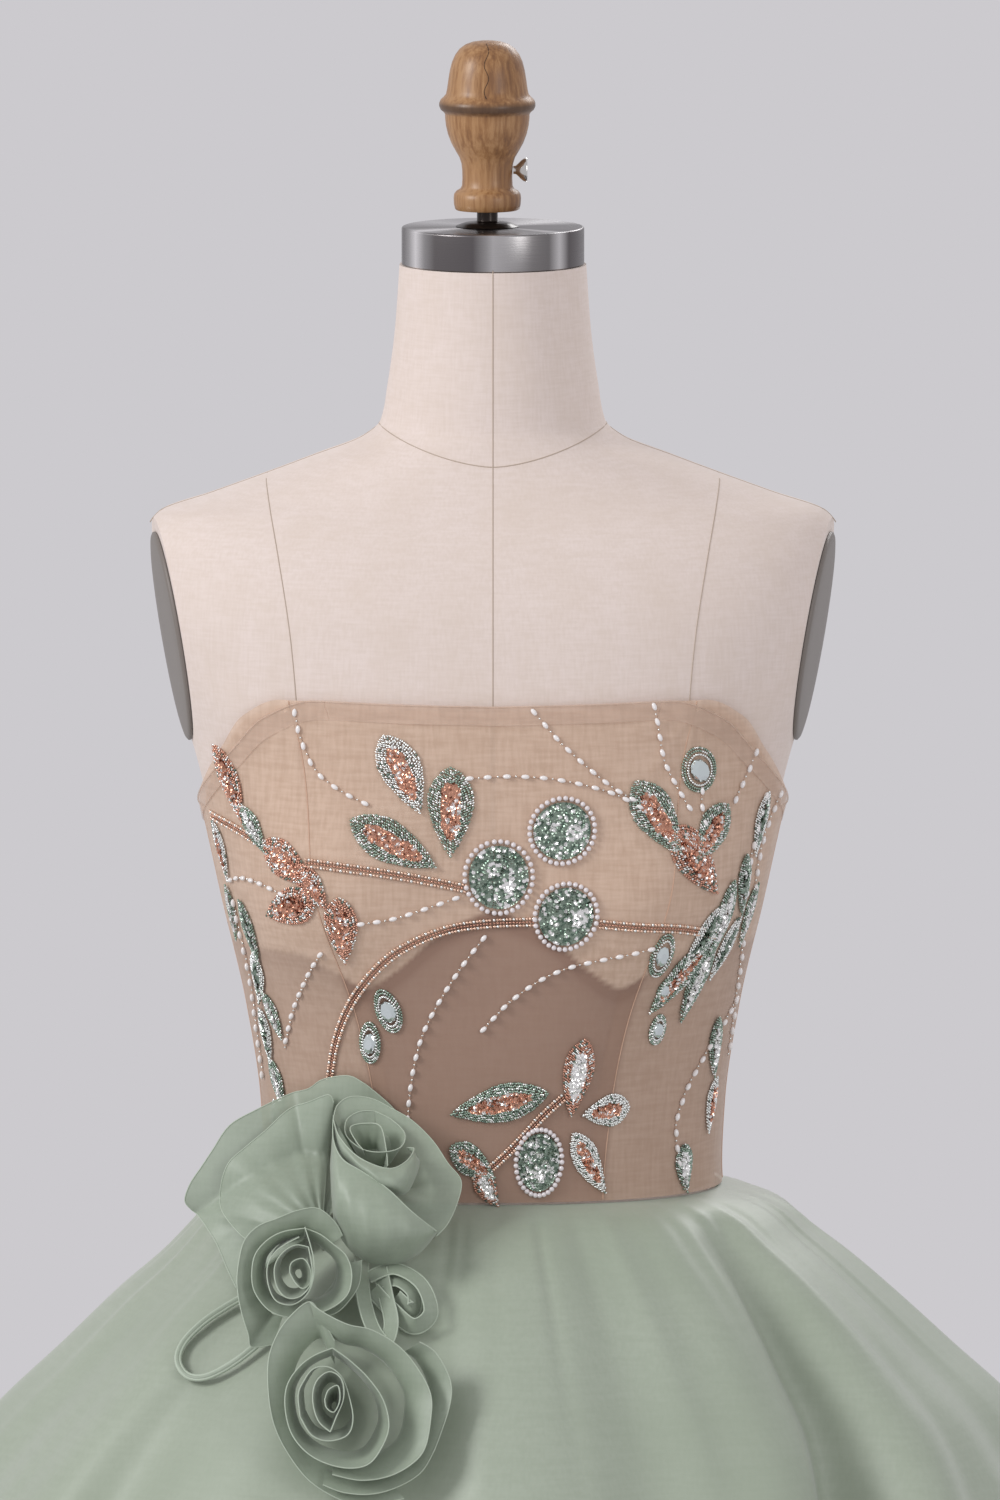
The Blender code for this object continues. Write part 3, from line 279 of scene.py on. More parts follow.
# The bands run round an upright line 8 mm behind the middle, where the neck stands.
spun = add_node(tree, "ShaderNodeSeparateXYZ", {}, {"Vector": place})
around = maths(tree, "ARCTAN2", spun.outputs["X"], maths(tree, "SUBTRACT", spun.outputs["Y"], 0.008))
round_share = ranged(tree, around, From_Min=-math.pi, From_Max=math.pi)
banding = add_node(tree, "ShaderNodeValToRGB", {}, {"Fac": round_share})
BANDS = (
    (0.0, "#C2C0C0"), (0.012, "#A5A3A3"), (0.035, "#6E6A6B"), (0.11, "#777373"), (0.135, "#A8A6A6"),
    (0.16, "#FAF8F8"), (0.185, "#B5B3B3"), (0.215, "#6E6A6A"), (0.35, "#C9C7C8"), (0.5, "#8E8B8C"),
    (0.64, "#D8D6D6"), (0.72, "#6B6768"), (0.80, "#7A7677"), (0.845, "#6A6667"),
    (0.87, "#D5D3D3"), (0.895, "#7F7C7C"), (0.93, "#858282"),
)
for position, code in BANDS[1:]:
    banding.color_ramp.elements.new(position).color = linear_colour(code)
banding.color_ramp.elements[0].color = linear_colour(BANDS[0][1])
banding.color_ramp.elements[-1].color = linear_colour(BANDS[0][1])
tree.links.new(banding.outputs["Color"], shader.inputs["Base Color"])

flange_top = WAIST_HEIGHT - 230.3
pole_profile = rounded(
    [(0.001, flange_top), (60.0, flange_top), (60.0, flange_top - 5), (21.0, flange_top - 5),
     (21.0, flange_top - 40), (15.0, flange_top - 42), (15.0, 44.3), (0.001, 44.3)],
    {1: 0.8, 2: 0.8, 3: 2.0, 4: 1.0})
pole = turned("steel_pole", pole_profile, floor_place, brushed_steel, 96)
fasten(pole, "steel", "stand_pole")

# ------------------------------------------------------------------ torso
# The form is a padded shell under tight natural linen. The linen is sewn from shaped panels, so
# seams run down its middle, over each breast and shoulder, and round the neck.

# Levels of the form: height, half width, depth in front and behind, shift to the back, squareness.
BODY_ROWS = (
    (-230, 168, 118, 120, 0, 2.2), (-180, 166, 117, 121, 0, 2.2), (-120, 155, 109, 113, 0, 2.2),
    (-60, 136, 97, 98, 0, 2.2), (-20, 123, 90, 87, 0, 2.2), (10, 120, 88, 83, 0, 2.2),
    (43, 121.5, 90, 84, 0, 2.25), (97, 129.5, 97, 89, 0, 2.3), (151, 142, 103, 94, 0, 2.35),
    (205, 154, 105, 98, 0, 2.35), (240, 163, 103, 99, 0, 2.35), (275, 177, 98, 99, 0, 2.35),
    (310, 187, 92, 97, 0, 2.35), (340, 189, 82, 92, 1, 2.3), (354, 186, 75, 86, 2, 2.2),
    (362, 180, 70, 80, 3, 2.1), (372, 152, 65, 75, 4, 2.0), (382, 124, 61, 70, 5, 2.0),
    (392, 97, 58, 66, 6, 2.0), (402, 71, 56, 62, 7, 2.0), (410, 61.5, 55, 59, 8, 2.0),
    (430, 57.5, 54, 56, 8, 2.0), (460, 53.5, 52, 53, 8, 2.0), (494.7, 51, 51, 51, 8, 2.0),
)
NECK_TOP = 494.7
BUST_TURN = 34.0
BUST_HEIGHT = 163.0
BUST_RISE = 16.0
BUST_SPREAD_TURN = 21.0
BUST_SPREAD_HEIGHT = 46.0
FORM_SKIN = -0.9
ARM_PLATE_TILT = 0.13
ARM_PLATE_LEAN = 0.165
ARM_PLATE_TOP = 352.0
ARM_PLATE_TOP_REACH = 181.0


def end_slope(slope, spans, i):
    """Slope of the curve at row i: a mean of the slopes beside it, or 0 at a turning point."""
    if i == 0 or i == len(slope):
        return slope[min(i, len(slope) - 1)]
    if slope[i - 1] * slope[i] <= 0:
        return 0.0
    before = 2 * spans[i] + spans[i - 1]
    after = spans[i] + 2 * spans[i - 1]
    return (before + after) / (before / slope[i - 1] + after / slope[i])


@lru_cache(maxsize=None)
def read_table(rows, key):
    """The values of a table at a key, on a smooth curve through its rows that never overshoots."""
    keys = [row[0] for row in rows]
    key = min(max(key, keys[0]), keys[-1])
    low = max(i for i in range(len(rows) - 1) if keys[i] <= key)
    spans = [b - a for a, b in zip(keys, keys[1:])]
    step = (key - keys[low]) / spans[low]
    values = []
    for column in range(1, len(rows[0])):
        level = [row[column] for row in rows]
        slope = [(b - a) / s for a, b, s in zip(level, level[1:], spans)]
        ends = [end_slope(slope, spans, i) for i in (low, low + 1)]
        rise = 3 * step ** 2 - 2 * step ** 3
        bow_in = (step ** 3 - 2 * step ** 2 + step) * spans[low] * ends[0]
        bow_out = (step ** 3 - step ** 2) * spans[low] * ends[1]
        values.append(level[low] * (1 - rise) + level[low + 1] * rise + bow_in + bow_out)
    return values


def oval(turn, half_width, front, back, square):
    """Point of a horizontal section: an oval with its own depth in front and behind."""
    across = math.sin(math.radians(turn))
    ahead = math.cos(math.radians(turn))
    depth = front if ahead > 0 else back
    x = half_width * math.copysign(abs(across) ** (2 / square), across)
    y = -depth * math.copysign(abs(ahead) ** (2 / square), ahead)
    return Vector((x, y))


def oval_normal(turn, *section):
    """Level direction straight out of a section."""
    run = oval(turn + 0.5, *section) - oval(turn - 0.5, *section)
    return Vector((run.y, -run.x)).normalized()


def bust_rise(turn, height):
    """How far the bust lifts the form's front, the same on both sides."""
    aside = (abs(turn) - BUST_TURN) / BUST_SPREAD_TURN
    above = (height - BUST_HEIGHT) / BUST_SPREAD_HEIGHT
    return BUST_RISE * math.exp(-aside ** 2 - above ** 2)


def body(turn, height, lift=0.0):
    """Point of the form's skin, moved straight out by a lift."""
    half_width, front, back, shift, square = read_table(BODY_ROWS, round(height, 2))
    section = (half_width, front, back, square)
    out = oval_normal(turn, *section) * (lift + bust_rise(turn, height))
    point = oval(turn, *section) + out
    return Vector((point.x, point.y + shift, height))


def rope(name, lines, radius, material, closed=False, resolution=2):
    """Thin round lines through rows of points: seams, threads and piping."""
    data = bpy.data.curves.new(name, "CURVE")
    data.dimensions = "3D"
    data.bevel_depth = radius * MM
    data.bevel_resolution = resolution
    data.use_fill_caps = True
    for points in lines:
        spline = data.splines.new("POLY")
        spline.points.add(len(points) - 1)
        for knot, point in zip(spline.points, points):
            knot.co = (*floor_point(point), 1.0)
        spline.use_cyclic_u = closed
        spline.use_smooth = True
    data.materials.append(material)
    piece = bpy.data.objects.new(name, data)
    scene.collection.objects.link(piece)
    return piece


def mixed(tree, factor, low, high, **settings):
    """A mix of two colours, each a hex code, a socket or a value."""
    mix = add_node(tree, "ShaderNodeMix", {}, {"Factor": factor}, data_type="RGBA", **settings)
    for socket, colour in zip(mix.inputs[6:8], (low, high)):
        if isinstance(colour, bpy.types.NodeSocket):
            tree.links.new(colour, socket)
        else:
            socket.default_value = linear_colour(colour) if isinstance(colour, str) else colour
    return mix.outputs[2]


def woven(tree, shader, pitch, depth, tint=None, tint_amount=0.0):
    """A plain weave: slubby threads both ways, a pitch in millimetres apart. A tint darkens
    some threads; the colour is returned."""
    place = in_object(tree)
    threads = [noise(tree, 1.0, 2.0, scaled(tree, place, [s * 500 / pitch for s in scale]))
               for scale in ((0.12, 0.12, 1.0), (1.0, 1.0, 0.12))]
    cloth = maths(tree, "ADD", *threads)
    bump(tree, shader, cloth, 0.5, depth * MM)
    if not tint:
        return None
    share = ranged(tree, cloth, From_Min=0.75, From_Max=1.25, To_Max=tint_amount)
    base = shader.inputs["Base Color"]
    colour = mixed(tree, share, base.default_value, tint)
    tree.links.new(colour, base)
    return colour


def clouded(tree, shader, colour, scale, detail, spread, cloud):
    """Faint cloudy patches over a cloth's colour."""
    patch = ranged(tree, noise(tree, scale, detail), **spread)
    tree.links.new(mixed(tree, patch, colour, cloud), shader.inputs["Base Color"])


# Natural linen, plain woven: matt, warm off-white, with thread slubs and faint cloudy patches.
# Its threads lie 0.4 mm apart and are drawn 0.7 mm apart, so that they show.
linen, tree, shader = surface_of("natural linen", "#E4D6CE", 0.92, Sheen_Weight=0.15)
cloth = woven(tree, shader, 0.7, 0.08, "#D2C2B4", 0.4)
clouded(tree, shader, cloth, 14.0, 3.0, {"From_Min": 0.4, "From_Max": 0.75, "To_Max": 0.35}, "#D8C8BA")

SIDES = 180
levels = [-230.0 + 4.0 * i for i in range(134)]
levels += [306.0 + 2.0 * i for i in range(60)]
levels += [430.0 + 6.0 * i for i in range(11)] + [NECK_TOP]
levels = sorted(set(level for level in levels if level <= NECK_TOP))
skin = bmesh.new()
rings = []
for level in levels:
    ring = [body(step * 360 / SIDES - 180, level, FORM_SKIN) for step in range(SIDES)]
    rings.append([skin.verts.new(floor_point(point)) for point in ring])
for low, high in zip(rings, rings[1:]):
    for step in range(SIDES):
        after = (step + 1) % SIDES
        skin.faces.new((low[step], low[after], high[after], high[step]))
skin.faces.new(rings[-1])
skin.faces.new(list(reversed(rings[0])))
for side in (-1, 1):
    cut = bmesh.ops.bisect_plane(
        skin, geom=skin.verts[:] + skin.edges[:] + skin.faces[:], dist=1e-6,
        plane_co=floor_point(Vector((side * ARM_PLATE_TOP_REACH, 0.0, ARM_PLATE_TOP))),
        plane_no=(side, -ARM_PLATE_TILT, -ARM_PLATE_LEAN), clear_outer=True)
    rim = [item for item in cut["geom_cut"] if isinstance(item, bmesh.types.BMEdge)]
    bmesh.ops.edgeloop_fill(skin, edges=rim)
torso_data = bpy.data.meshes.new("linen_torso")
skin.to_mesh(torso_data)
skin.free()
torso_data.shade_smooth()
torso_data.set_sharp_from_angle(angle=math.radians(35))
torso_data.materials.append(linen)
torso = bpy.data.objects.new("linen_torso", torso_data)
scene.collection.objects.link(torso)
fasten(torso, "linen", "form_torso")

# Seam allowances under the linen show as fine shaded ridges.
seam_thread, tree, shader = surface_of("shaded linen seam", "#B7A797", 0.95)
NECK_SEAM_FRONT = 391.5
NECK_SEAM_SIDE = 409.0
NECK_SEAM_REACH = 61.5
# The seams over the breasts: height and distance from the middle.
PRINCESS = ((255, 104), (300, 108), (345, 115), (384, 123))


def skin_turn(x, height):
    """Turn of the form's skin at a distance from the middle."""
    half_width, _, _, _, square = read_table(BODY_ROWS, round(height, 2))
    return math.degrees(math.asin(min(1.0, abs(x) / half_width) ** (square / 2)))


def skin_at(x, height, lift):
    """The form's front at a distance from the middle."""
    return body(math.copysign(skin_turn(x, height), x), height, lift)


seams = [[body(0, 230 + 2.0 * i, FORM_SKIN) for i in range(134)],
         [body(180, 180 + 2.0 * i, FORM_SKIN) for i in range(159)]]
for side in (-1, 1):
    steps = [255 + 130 * i / 60 for i in range(61)]
    seams.append([skin_at(side * read_table(PRINCESS, h)[0], h, FORM_SKIN) for h in steps])
    seams.append([body(side * 90, 356 + i, FORM_SKIN) for i in range(52)])
    seams.append([body(side * (140 + i * 0.12), 190 + 4 * i, FORM_SKIN) for i in range(43)])
neck_front = []
for step in range(-40, 41):
    share = abs(step) / 40
    height = NECK_SEAM_FRONT + (NECK_SEAM_SIDE - NECK_SEAM_FRONT) * share ** 1.6
    neck_front.append(skin_at(NECK_SEAM_REACH * step / 40, height, FORM_SKIN))
seams.append(neck_front)
seams.append([body(t, NECK_SEAM_SIDE + 1.5 * math.sin(math.radians(t - 90)) ** 2, FORM_SKIN)
              for t in range(81, 280, 3)])
fasten(rope("torso_seams", seams, 0.28, seam_thread, resolution=1), "linen")

# ------------------------------------------------------------------ arm plates
# Flat oval plates of grey moulded plastic close the armholes. They are screwed on from inside.

ARM_PLATE_HALF_HEIGHT = 57.0
ARM_PLATE_HALF_DEPTH = 43.0
plate_grey, tree, shader = surface_of("moulded grey plastic", "#7A736D", 0.45)
bump(tree, shader, noise(tree, 1400.0, 2.0), 0.2, 0.0001)
PLATE_SIDES = 72
PLATE_RINGS = ((0.001, 3.0), (0.55, 3.0), (0.93, 2.7), (0.975, 2.3), (1.0, 1.4), (1.0, 0.4))
for side, label in ((1, "right"), (-1, "left")):
    out = Vector((1.0, -ARM_PLATE_TILT, -ARM_PLATE_LEAN)).normalized()
    forward = Vector((ARM_PLATE_TILT, 1.0, 0.0)).normalized()
    upward = out.cross(forward)
    middle_height = ARM_PLATE_TOP - ARM_PLATE_HALF_HEIGHT
    reach = ARM_PLATE_TOP_REACH - (ARM_PLATE_TOP - middle_height) * ARM_PLATE_LEAN
    centre = Vector((reach, 0.0, middle_height))
    points = []
    for share, height in PLATE_RINGS:
        for step in range(PLATE_SIDES):
            angle = 2 * math.pi * step / PLATE_SIDES
            spot = centre + forward * math.cos(angle) * share * ARM_PLATE_HALF_DEPTH
            spot += upward * math.sin(angle) * share * ARM_PLATE_HALF_HEIGHT + out * height
            points.append(Vector((side * spot.x, spot.y, spot.z)))
    faces = [face[::side] for face in ring_faces(len(PLATE_RINGS), PLATE_SIDES)]
    faces.append(tuple(range(len(points) - PLATE_SIDES, len(points)))[::-side])
    plate = make_piece("arm_plate_cover_" + label, points, faces, plate_grey, 60)
    fasten(plate, "plate_grey", "arm_plate_" + label)

# ------------------------------------------------------------------ neck cap
# A turned steel lid is pressed into the top of the neck. An iron boss and stem hold the finial.

NECK = Vector((0.0, 8.0, 0.0))
cap_profile = rounded([(0.001, 515.0), (49.0, 515.0), (49.0, 495.0), (0.001, 495.0)],
                      {1: 1.3, 2: 0.5})
cap = turned("steel_neck_cap", cap_profile, NECK, brushed_steel, 192)
fasten(cap, "steel", "neck_cap")

# Oxidised iron, oiled: nearly black, with a soft gleam.
dark_iron, tree, shader = surface_of("oiled dark iron", "#2E2622", 0.28, 0.6)
stem_profile = rounded(
    [(0.001, 523.7), (5.6, 523.7), (5.6, 517.8), (12.0, 517.2), (17.0, 515.3), (0.001, 515.3)],
    {2: 0.8, 3: 2.0})
FINIAL_PLACE = NECK + Vector((-3.0, 0.0, 0.0))
stem = turned("iron_stem", stem_profile, FINIAL_PLACE, dark_iron, 96)
fasten(stem, "dark_iron", "finial_stem")

# ------------------------------------------------------------------ finial
# A knob turned from one piece of beech, stained and waxed, worn pale where hands lift the form,
# and dark in the groove round its middle.

# Stained beech: fine upright grain, small dark flecks, a soft wax gleam.
beech, tree, shader = surface_of("waxed stained beech", "#A57A4E", 0.42, Coat_Weight=0.15,
                                 Coat_Roughness=0.3)
place = in_object(tree)
grain = noise(tree, 1.0, 5.0, scaled(tree, place, (420.0, 420.0, 16.0)), Roughness=0.6)
figure = noise(tree, 1.0, 3.0, scaled(tree, place, (26.0, 26.0, 14.0)))
both = maths(tree, "MULTIPLY", maths(tree, "ADD", grain, figure), 0.86)
wood = add_node(tree, "ShaderNodeValToRGB", {}, {"Fac": both})
ramp = wood.color_ramp.elements
ramp[0].position = 0.72
ramp[0].color = linear_colour("#7E5633")
ramp[1].position = 1.0
ramp[1].color = linear_colour("#AD8358")
ramp.new(0.86).color = linear_colour("#966B41")
RING_HEIGHT = (WAIST_HEIGHT + 579.6) * MM
height = add_node(tree, "ShaderNodeSeparateXYZ", {}, {"Vector": place})
off_ring = maths(tree, "ABSOLUTE", maths(tree, "SUBTRACT", height.outputs["Z"], RING_HEIGHT), 0.0)
ring_share = ranged(tree, off_ring, From_Min=0.0012, From_Max=0.0042, To_Min=0.85, To_Max=0.0)
stained = mixed(tree, ring_share, wood.outputs["Color"], "#46301F")
fleck_share = ranged(tree, noise(tree, 900.0, 2.0), From_Min=0.62, From_Max=0.72, To_Max=0.55)
flecked = mixed(tree, fleck_share, stained, "#4A3020")
tree.links.new(flecked, shader.inputs["Base Color"])
bump(tree, shader, grain, 0.25, 0.0003)

FINIAL = (
    (0.001, 615.0), (4.0, 614.9), (8.0, 614.3), (11.8, 612.9), (14.9, 610.6), (17.2, 607.5),
    (18.9, 603.7), (20.1, 599.0), (20.9, 594.0), (21.6, 589.0), (22.2, 586.3), (23.4, 584.8),
    (25.0, 583.4), (25.8, 581.6), (25.8, 579.8), (25.0, 578.0), (23.4, 576.7), (22.7, 575.6),
    (22.6, 573.0), (22.2, 569.5), (21.2, 565.0), (19.4, 560.2), (17.0, 555.8), (15.0, 552.4),
    (13.9, 549.0), (13.5, 545.5), (13.4, 541.0), (13.6, 537.0), (14.5, 535.4), (16.6, 534.2),
    (17.8, 532.6), (18.1, 530.4), (17.9, 527.0), (17.3, 524.6), (16.6, 524.0), (0.001, 524.0),
)
finial = turned("beech_finial", FINIAL, FINIAL_PLACE, beech, 96)
fasten(finial, "wood", "neck_finial")

# A drying crack runs from the top down the front.
crack_dark, tree, shader = surface_of("dark crack in beech", "#35241A", 0.8)
crack = []
for share in range(22):
    height = 614.0 - share * 1.35
    radius = next(r0 + (r1 - r0) * (h0 - height) / (h0 - h1)
                  for (r0, h0), (r1, h1) in zip(FINIAL, FINIAL[1:]) if h1 <= height <= h0)
    wander = 1.2 * math.sin(share * 0.6) - 0.5
    depth = math.sqrt(max(0.0, radius ** 2 - wander ** 2))
    crack.append(FINIAL_PLACE + Vector((wander, -depth + 0.1, height)))
fasten(rope("drying_crack", [crack], 0.22, crack_dark, resolution=1), "wood")

# ------------------------------------------------------------------ thumb screw
# A nickel-plated screw clamps the finial on its stem. Its head flares to two dished wings.

nickel, tree, shader = surface_of("bright nickel plate", "#D8D6D2", 0.14, 1.0)
SCREW = (
    (0.001, 5.6), (1.4, 5.7), (2.8, 6.3), (4.3, 7.2), (5.4, 7.6), (6.3, 7.4), (6.6, 6.8),
    (6.1, 5.4), (4.8, 3.8), (3.4, 2.5), (2.5, 1.5), (2.3, 0.8), (2.3, 0.0), (0.001, 0.0),
)


def winged(angle, height):
    """The head's outline is pinched in front and behind, and full above and below."""
    return 1.0 - 0.26 * min(1.0, max(0.0, (height - 1.5) / 3)) * math.sin(angle) ** 2


screw = turned("nickel_thumb_screw", SCREW, Vector((0.0, 0.0, 0.0)), nickel, 64, winged)
lay_over = Matrix.Rotation(math.radians(90), 4, "Y")
seat = floor_point(FINIAL_PLACE + Vector((13.9, 0.0, 545.5)))
for corner in screw.data.vertices:
    local = corner.co - floor_point(Vector((0.0, 0.0, 0.0)))
    corner.co = seat + lay_over @ local
fasten(screw, "nickel", "thumb_screw", body="screw")

# ------------------------------------------------------------------ cups and boning
# Moulded cups with side facings stiffen the bust. Narrow tapes sewn beside the front seams hold
# the bones. Both are nude jersey and show through the tulle.

# Turn and height of the neckline, and turn and height of the cups' lower edge.
NECKLINE = ((0, 268.5), (20, 269.5), (36, 270.5), (48, 261), (60, 241), (75, 219), (90, 205),
            (115, 196), (180, 192))
CUP_EDGE = ((0, 160), (8, 148), (18, 127), (26, 117), (33, 126), (42, 134), (90, 134))
CUP_LIFT = 0.8


def sheet_piece(name, grids, material, smooth_angle=60.0):
    """Single layers of cloth through rows of points, as one piece."""
    points, faces = [], []
    for grid in grids:
        first, columns = len(points), len(grid[0])
        points += [point for row in grid for point in row]
        for row in range(len(grid) - 1):
            for column in range(columns - 1):
                a = first + row * columns + column
                faces.append((a, a + 1, a + columns + 1, a + columns))
    return make_piece(name, points, faces, material, smooth_angle)


# Nude jersey over foam: matt and even, with a fine knit.
jersey, tree, shader = surface_of("nude jersey", "#EBD3C1", 0.85, Sheen_Weight=0.1)
woven(tree, shader, 0.9, 0.08)
# The binding along each cup's lower edge is dark brown: a painted shade line where the cup's edge
# overhangs the hollow below.
binding_painted_dark, tree, shader = surface_of("nude binding", "#8D7160", 0.85)

for side, label in ((-1, "left"), (1, "right")):
    grid = []
    for row in range(41):
        line = []
        for column in range(61):
            turn = side * (0.2 + 86.8 * column / 60)
            low = read_table(CUP_EDGE, abs(turn))[0]
            height = low + (read_table(NECKLINE, abs(turn))[0] - 3.0 - low) * row / 40
            line.append(body(turn, height, CUP_LIFT))
        grid.append(line[::side])
    cup = sheet_piece("jersey_cup_" + label, [grid], jersey)
    fasten(cup, "cup_lining", "cup_" + label)
    edge = [p + Vector((0, -0.3, 0)) for p in grid[0]]
    fasten(rope("cup_binding_" + label, [edge], 0.7, binding_painted_dark), "cup_lining")

# ------------------------------------------------------------------ bodice
# Seven panels of nude tulle are seamed over the cups. The top edge is turned down and caught
# with small stitches, and the cloth strains a little from the seams' upper ends.

ARC_HEIGHT = 150.0
BODICE_LIFT = 3.1
BEAD_LIFT = 3.6
SEAM_GAP = 0.3
# The seams' turns at each height.
SeamRow = namedtuple("SeamRow", "height front side back")
SEAMS = (SeamRow(0, 26.5, 90, 146), SeamRow(60, 28, 90, 143), SeamRow(125, 31, 90, 140),
         SeamRow(190, 34, 90, 139), SeamRow(272, 34.5, 90, 139))
ARC = [0.0]
for turn in range(180):
    step = body(turn + 1, ARC_HEIGHT, 3.5) - body(turn, ARC_HEIGHT, 3.5)
    ARC.append(ARC[-1] + step.length)


def arc_at(turn):
    """Distance round the bodice at a turn."""
    low = min(int(abs(turn)), 179)
    share = abs(turn) - low
    return math.copysign(ARC[low] * (1 - share) + ARC[low + 1] * share, turn)


def turn_of(arc):
    """Turn at a distance round the bodice."""
    low = max(0, min(bisect(ARC, abs(arc)) - 1, 179))
    share = (abs(arc) - ARC[low]) / (ARC[low + 1] - ARC[low])
    return math.copysign(low + share, arc)


# Creases of the tulle: lines from one place to another, with their width and height.
Crease = namedtuple("Crease", "arc height to_arc to_height width rise")
CREASES = (
    Crease(-97, 268, -150, 222, 3.5, 0.7), Crease(-97, 268, -132, 206, 3.0, 0.6),
    Crease(-96, 268, -104, 190, 3.0, 0.8), Crease(-94, 266, -40, 252, 4.0, 0.6),
    Crease(-94, 264, -20, 244, 3.5, 0.4), Crease(97, 268, 146, 224, 3.5, 0.7),
    Crease(97, 268, 124, 208, 3.0, 0.6), Crease(96, 268, 104, 186, 3.0, 0.8),
    Crease(94, 266, 52, 250, 4.0, 0.6), Crease(-94, 262, -62, 214, 3.5, 0.5),
    Crease(94, 262, 66, 204, 3.5, 0.5), Crease(-60, 268, 20, 262, 3.5, 0.5),
)


def crease_rise(arc, height):
    """How far the creases lift the tulle at a place."""
    total = 0.0
    for crease in CREASES:
        run = Vector((crease.to_arc - crease.arc, crease.to_height - crease.height))
        here = Vector((arc - crease.arc, height - crease.height))
        along = here.dot(run) / run.length_squared
        if 0.0 < along < 1.0:
            aside = (here - run * along).length / (crease.width * (0.4 + 0.6 * along))
            fade = math.sin(math.pi * min(1.0, along + 0.25)) if along > 0.25 else 1.0
            total += crease.rise * math.exp(-aside ** 2) * max(0.0, fade)
    return total


def seam_turn(column, side):
    """The line of one seam: its turn at each height."""
    index = SeamRow._fields.index(column) - 1
    return lambda height: side * read_table(SEAMS, round(height, 2))[index]


ZIP_HALF_GAP = 3.0


def zip_turn(side):
    """Each back panel stops short of centre back."""
    return lambda height: side * (180 - skin_turn(ZIP_HALF_GAP, height))


def tulle_painted_lightness_at(turn, height):
    """How light the tulle is painted at a place: 1 over the cups, less over the hollow under them as
    painted shade, with a painted shadow line just under the cups' edge.
    """
    edge = read_table(CUP_EDGE, round(abs(turn), 2))[0]
    over_cup = min(1.0, max(0.0, (height - edge + 1.0) / 2.0))
    seam = read_table(SEAMS, round(height, 1))[0]
    aside = min(1.0, max(0.0, (abs(turn) - seam) / 1.2))
    below = 0.16 + 0.44 * aside
    shadow = 0.22 * math.exp(-((height - edge + 4.0) / 5.0) ** 2) * (1 - over_cup) * (1 - 0.6 * aside)
    return over_cup * 0.97 + (1 - over_cup) * below - shadow


# Nude tulle: a fine soft net. Over the padded cups it looks warm and light; over the hollow under them
# it is painted dim and brown, as painted shade in the gap between the tulle and the form. The net's
# 0.6 mm holes are drawn 1.1 mm wide, so that they show.
tulle, tree, shader = surface_of("nude tulle", "#DDC2AC", 0.8, Sheen_Weight=0.25, Alpha=0.8)
net = woven(tree, shader, 1.1, 0.08, "#C0A28A", 0.55)
stored = add_node(tree, "ShaderNodeAttribute", attribute_name="tint")
painted_shade_net = mixed(tree, stored.outputs["Fac"], "#9B7B69", net, clamp_factor=True)
tree.links.new(painted_shade_net, shader.inputs["Base Color"])
tulle_fold, tree, shader = surface_of("folded nude tulle", "#E2C8B4", 0.8, Sheen_Weight=0.25,
                                      Alpha=0.45)
woven(tree, shader, 1.1, 0.08, "#C0A692", 0.4)

Panel = namedtuple("Panel", "node left right columns flat")
PANELS = (
    Panel("bodice_front_centre", seam_turn("front", -1), seam_turn("front", 1), 100, (0.20, 0.275)),
    Panel("bodice_front_left", seam_turn("side", -1), seam_turn("front", -1), 66, (0.135, 0.272)),
    Panel("bodice_front_right", seam_turn("front", 1), seam_turn("side", 1), 66, (0.135, 0.272)),
    Panel("bodice_side_back_left", seam_turn("back", -1), seam_turn("side", -1), 40, (0.11, 0.206)),
    Panel("bodice_side_back_right", seam_turn("side", 1), seam_turn("back", 1), 40, (0.11, 0.206)),
    Panel("bodice_back_left", zip_turn(-1), seam_turn("back", -1), 34, (0.105, 0.195)),
    Panel("bodice_back_right", seam_turn("back", 1), zip_turn(1), 34, (0.105, 0.195)),
)
ROWS = 110
FOLD_ROWS = 6
FOLD_DEPTH = 9.5
fold_lines = []
for panel in PANELS:
    grid, fold, places = [], [], []
    for row in range(ROWS + 1):
        line, top_line = [], []
        for column in range(panel.columns + 1):
            across = column / panel.columns
            at_top = panel.left(260) * (1 - across) + panel.right(260) * across
            top = read_table(NECKLINE, round(abs(at_top), 3))[0]
            height = SEAM_GAP / 2 + (top - SEAM_GAP / 2) * row / ROWS
            low = arc_at(panel.left(height)) + SEAM_GAP / 2
            high = arc_at(panel.right(height)) - SEAM_GAP / 2
            arc = low + (high - low) * across
            turn = turn_of(arc)
            line.append(body(turn, height, BODICE_LIFT + crease_rise(arc, height)))
            places.append((turn, height))
            if row <= FOLD_ROWS:
                left = 1 - row / FOLD_ROWS
                ripple = 0.25 * math.sin(arc / 7.0) * left
                depth = top - FOLD_DEPTH * left - 0.2
                top_line.append(body(turn, depth, BODICE_LIFT + 0.9 + ripple))
        grid.append(line)
        if row <= FOLD_ROWS:
            fold.append(top_line)
    shell = sheet_piece(panel.node.replace("bodice", "tulle"), [grid], tulle)
    # The tint attribute holds the painted shade of each point: 1 unshaded, less where shade is
    # painted.
    store = shell.data.attributes.new("tint", "FLOAT", "POINT")
    for entry, (turn, height) in zip(store.data, places):
        entry.value = tulle_painted_lightness_at(turn, height)
    fasten(shell, "tulle", panel.node)
    facing = sheet_piece(panel.node.replace("bodice", "top_fold"), [fold], tulle_fold)
    fasten(facing, "tulle")
    fold_lines.append([p + Vector((0, 0, 0.2)) for p in fold[-1]])

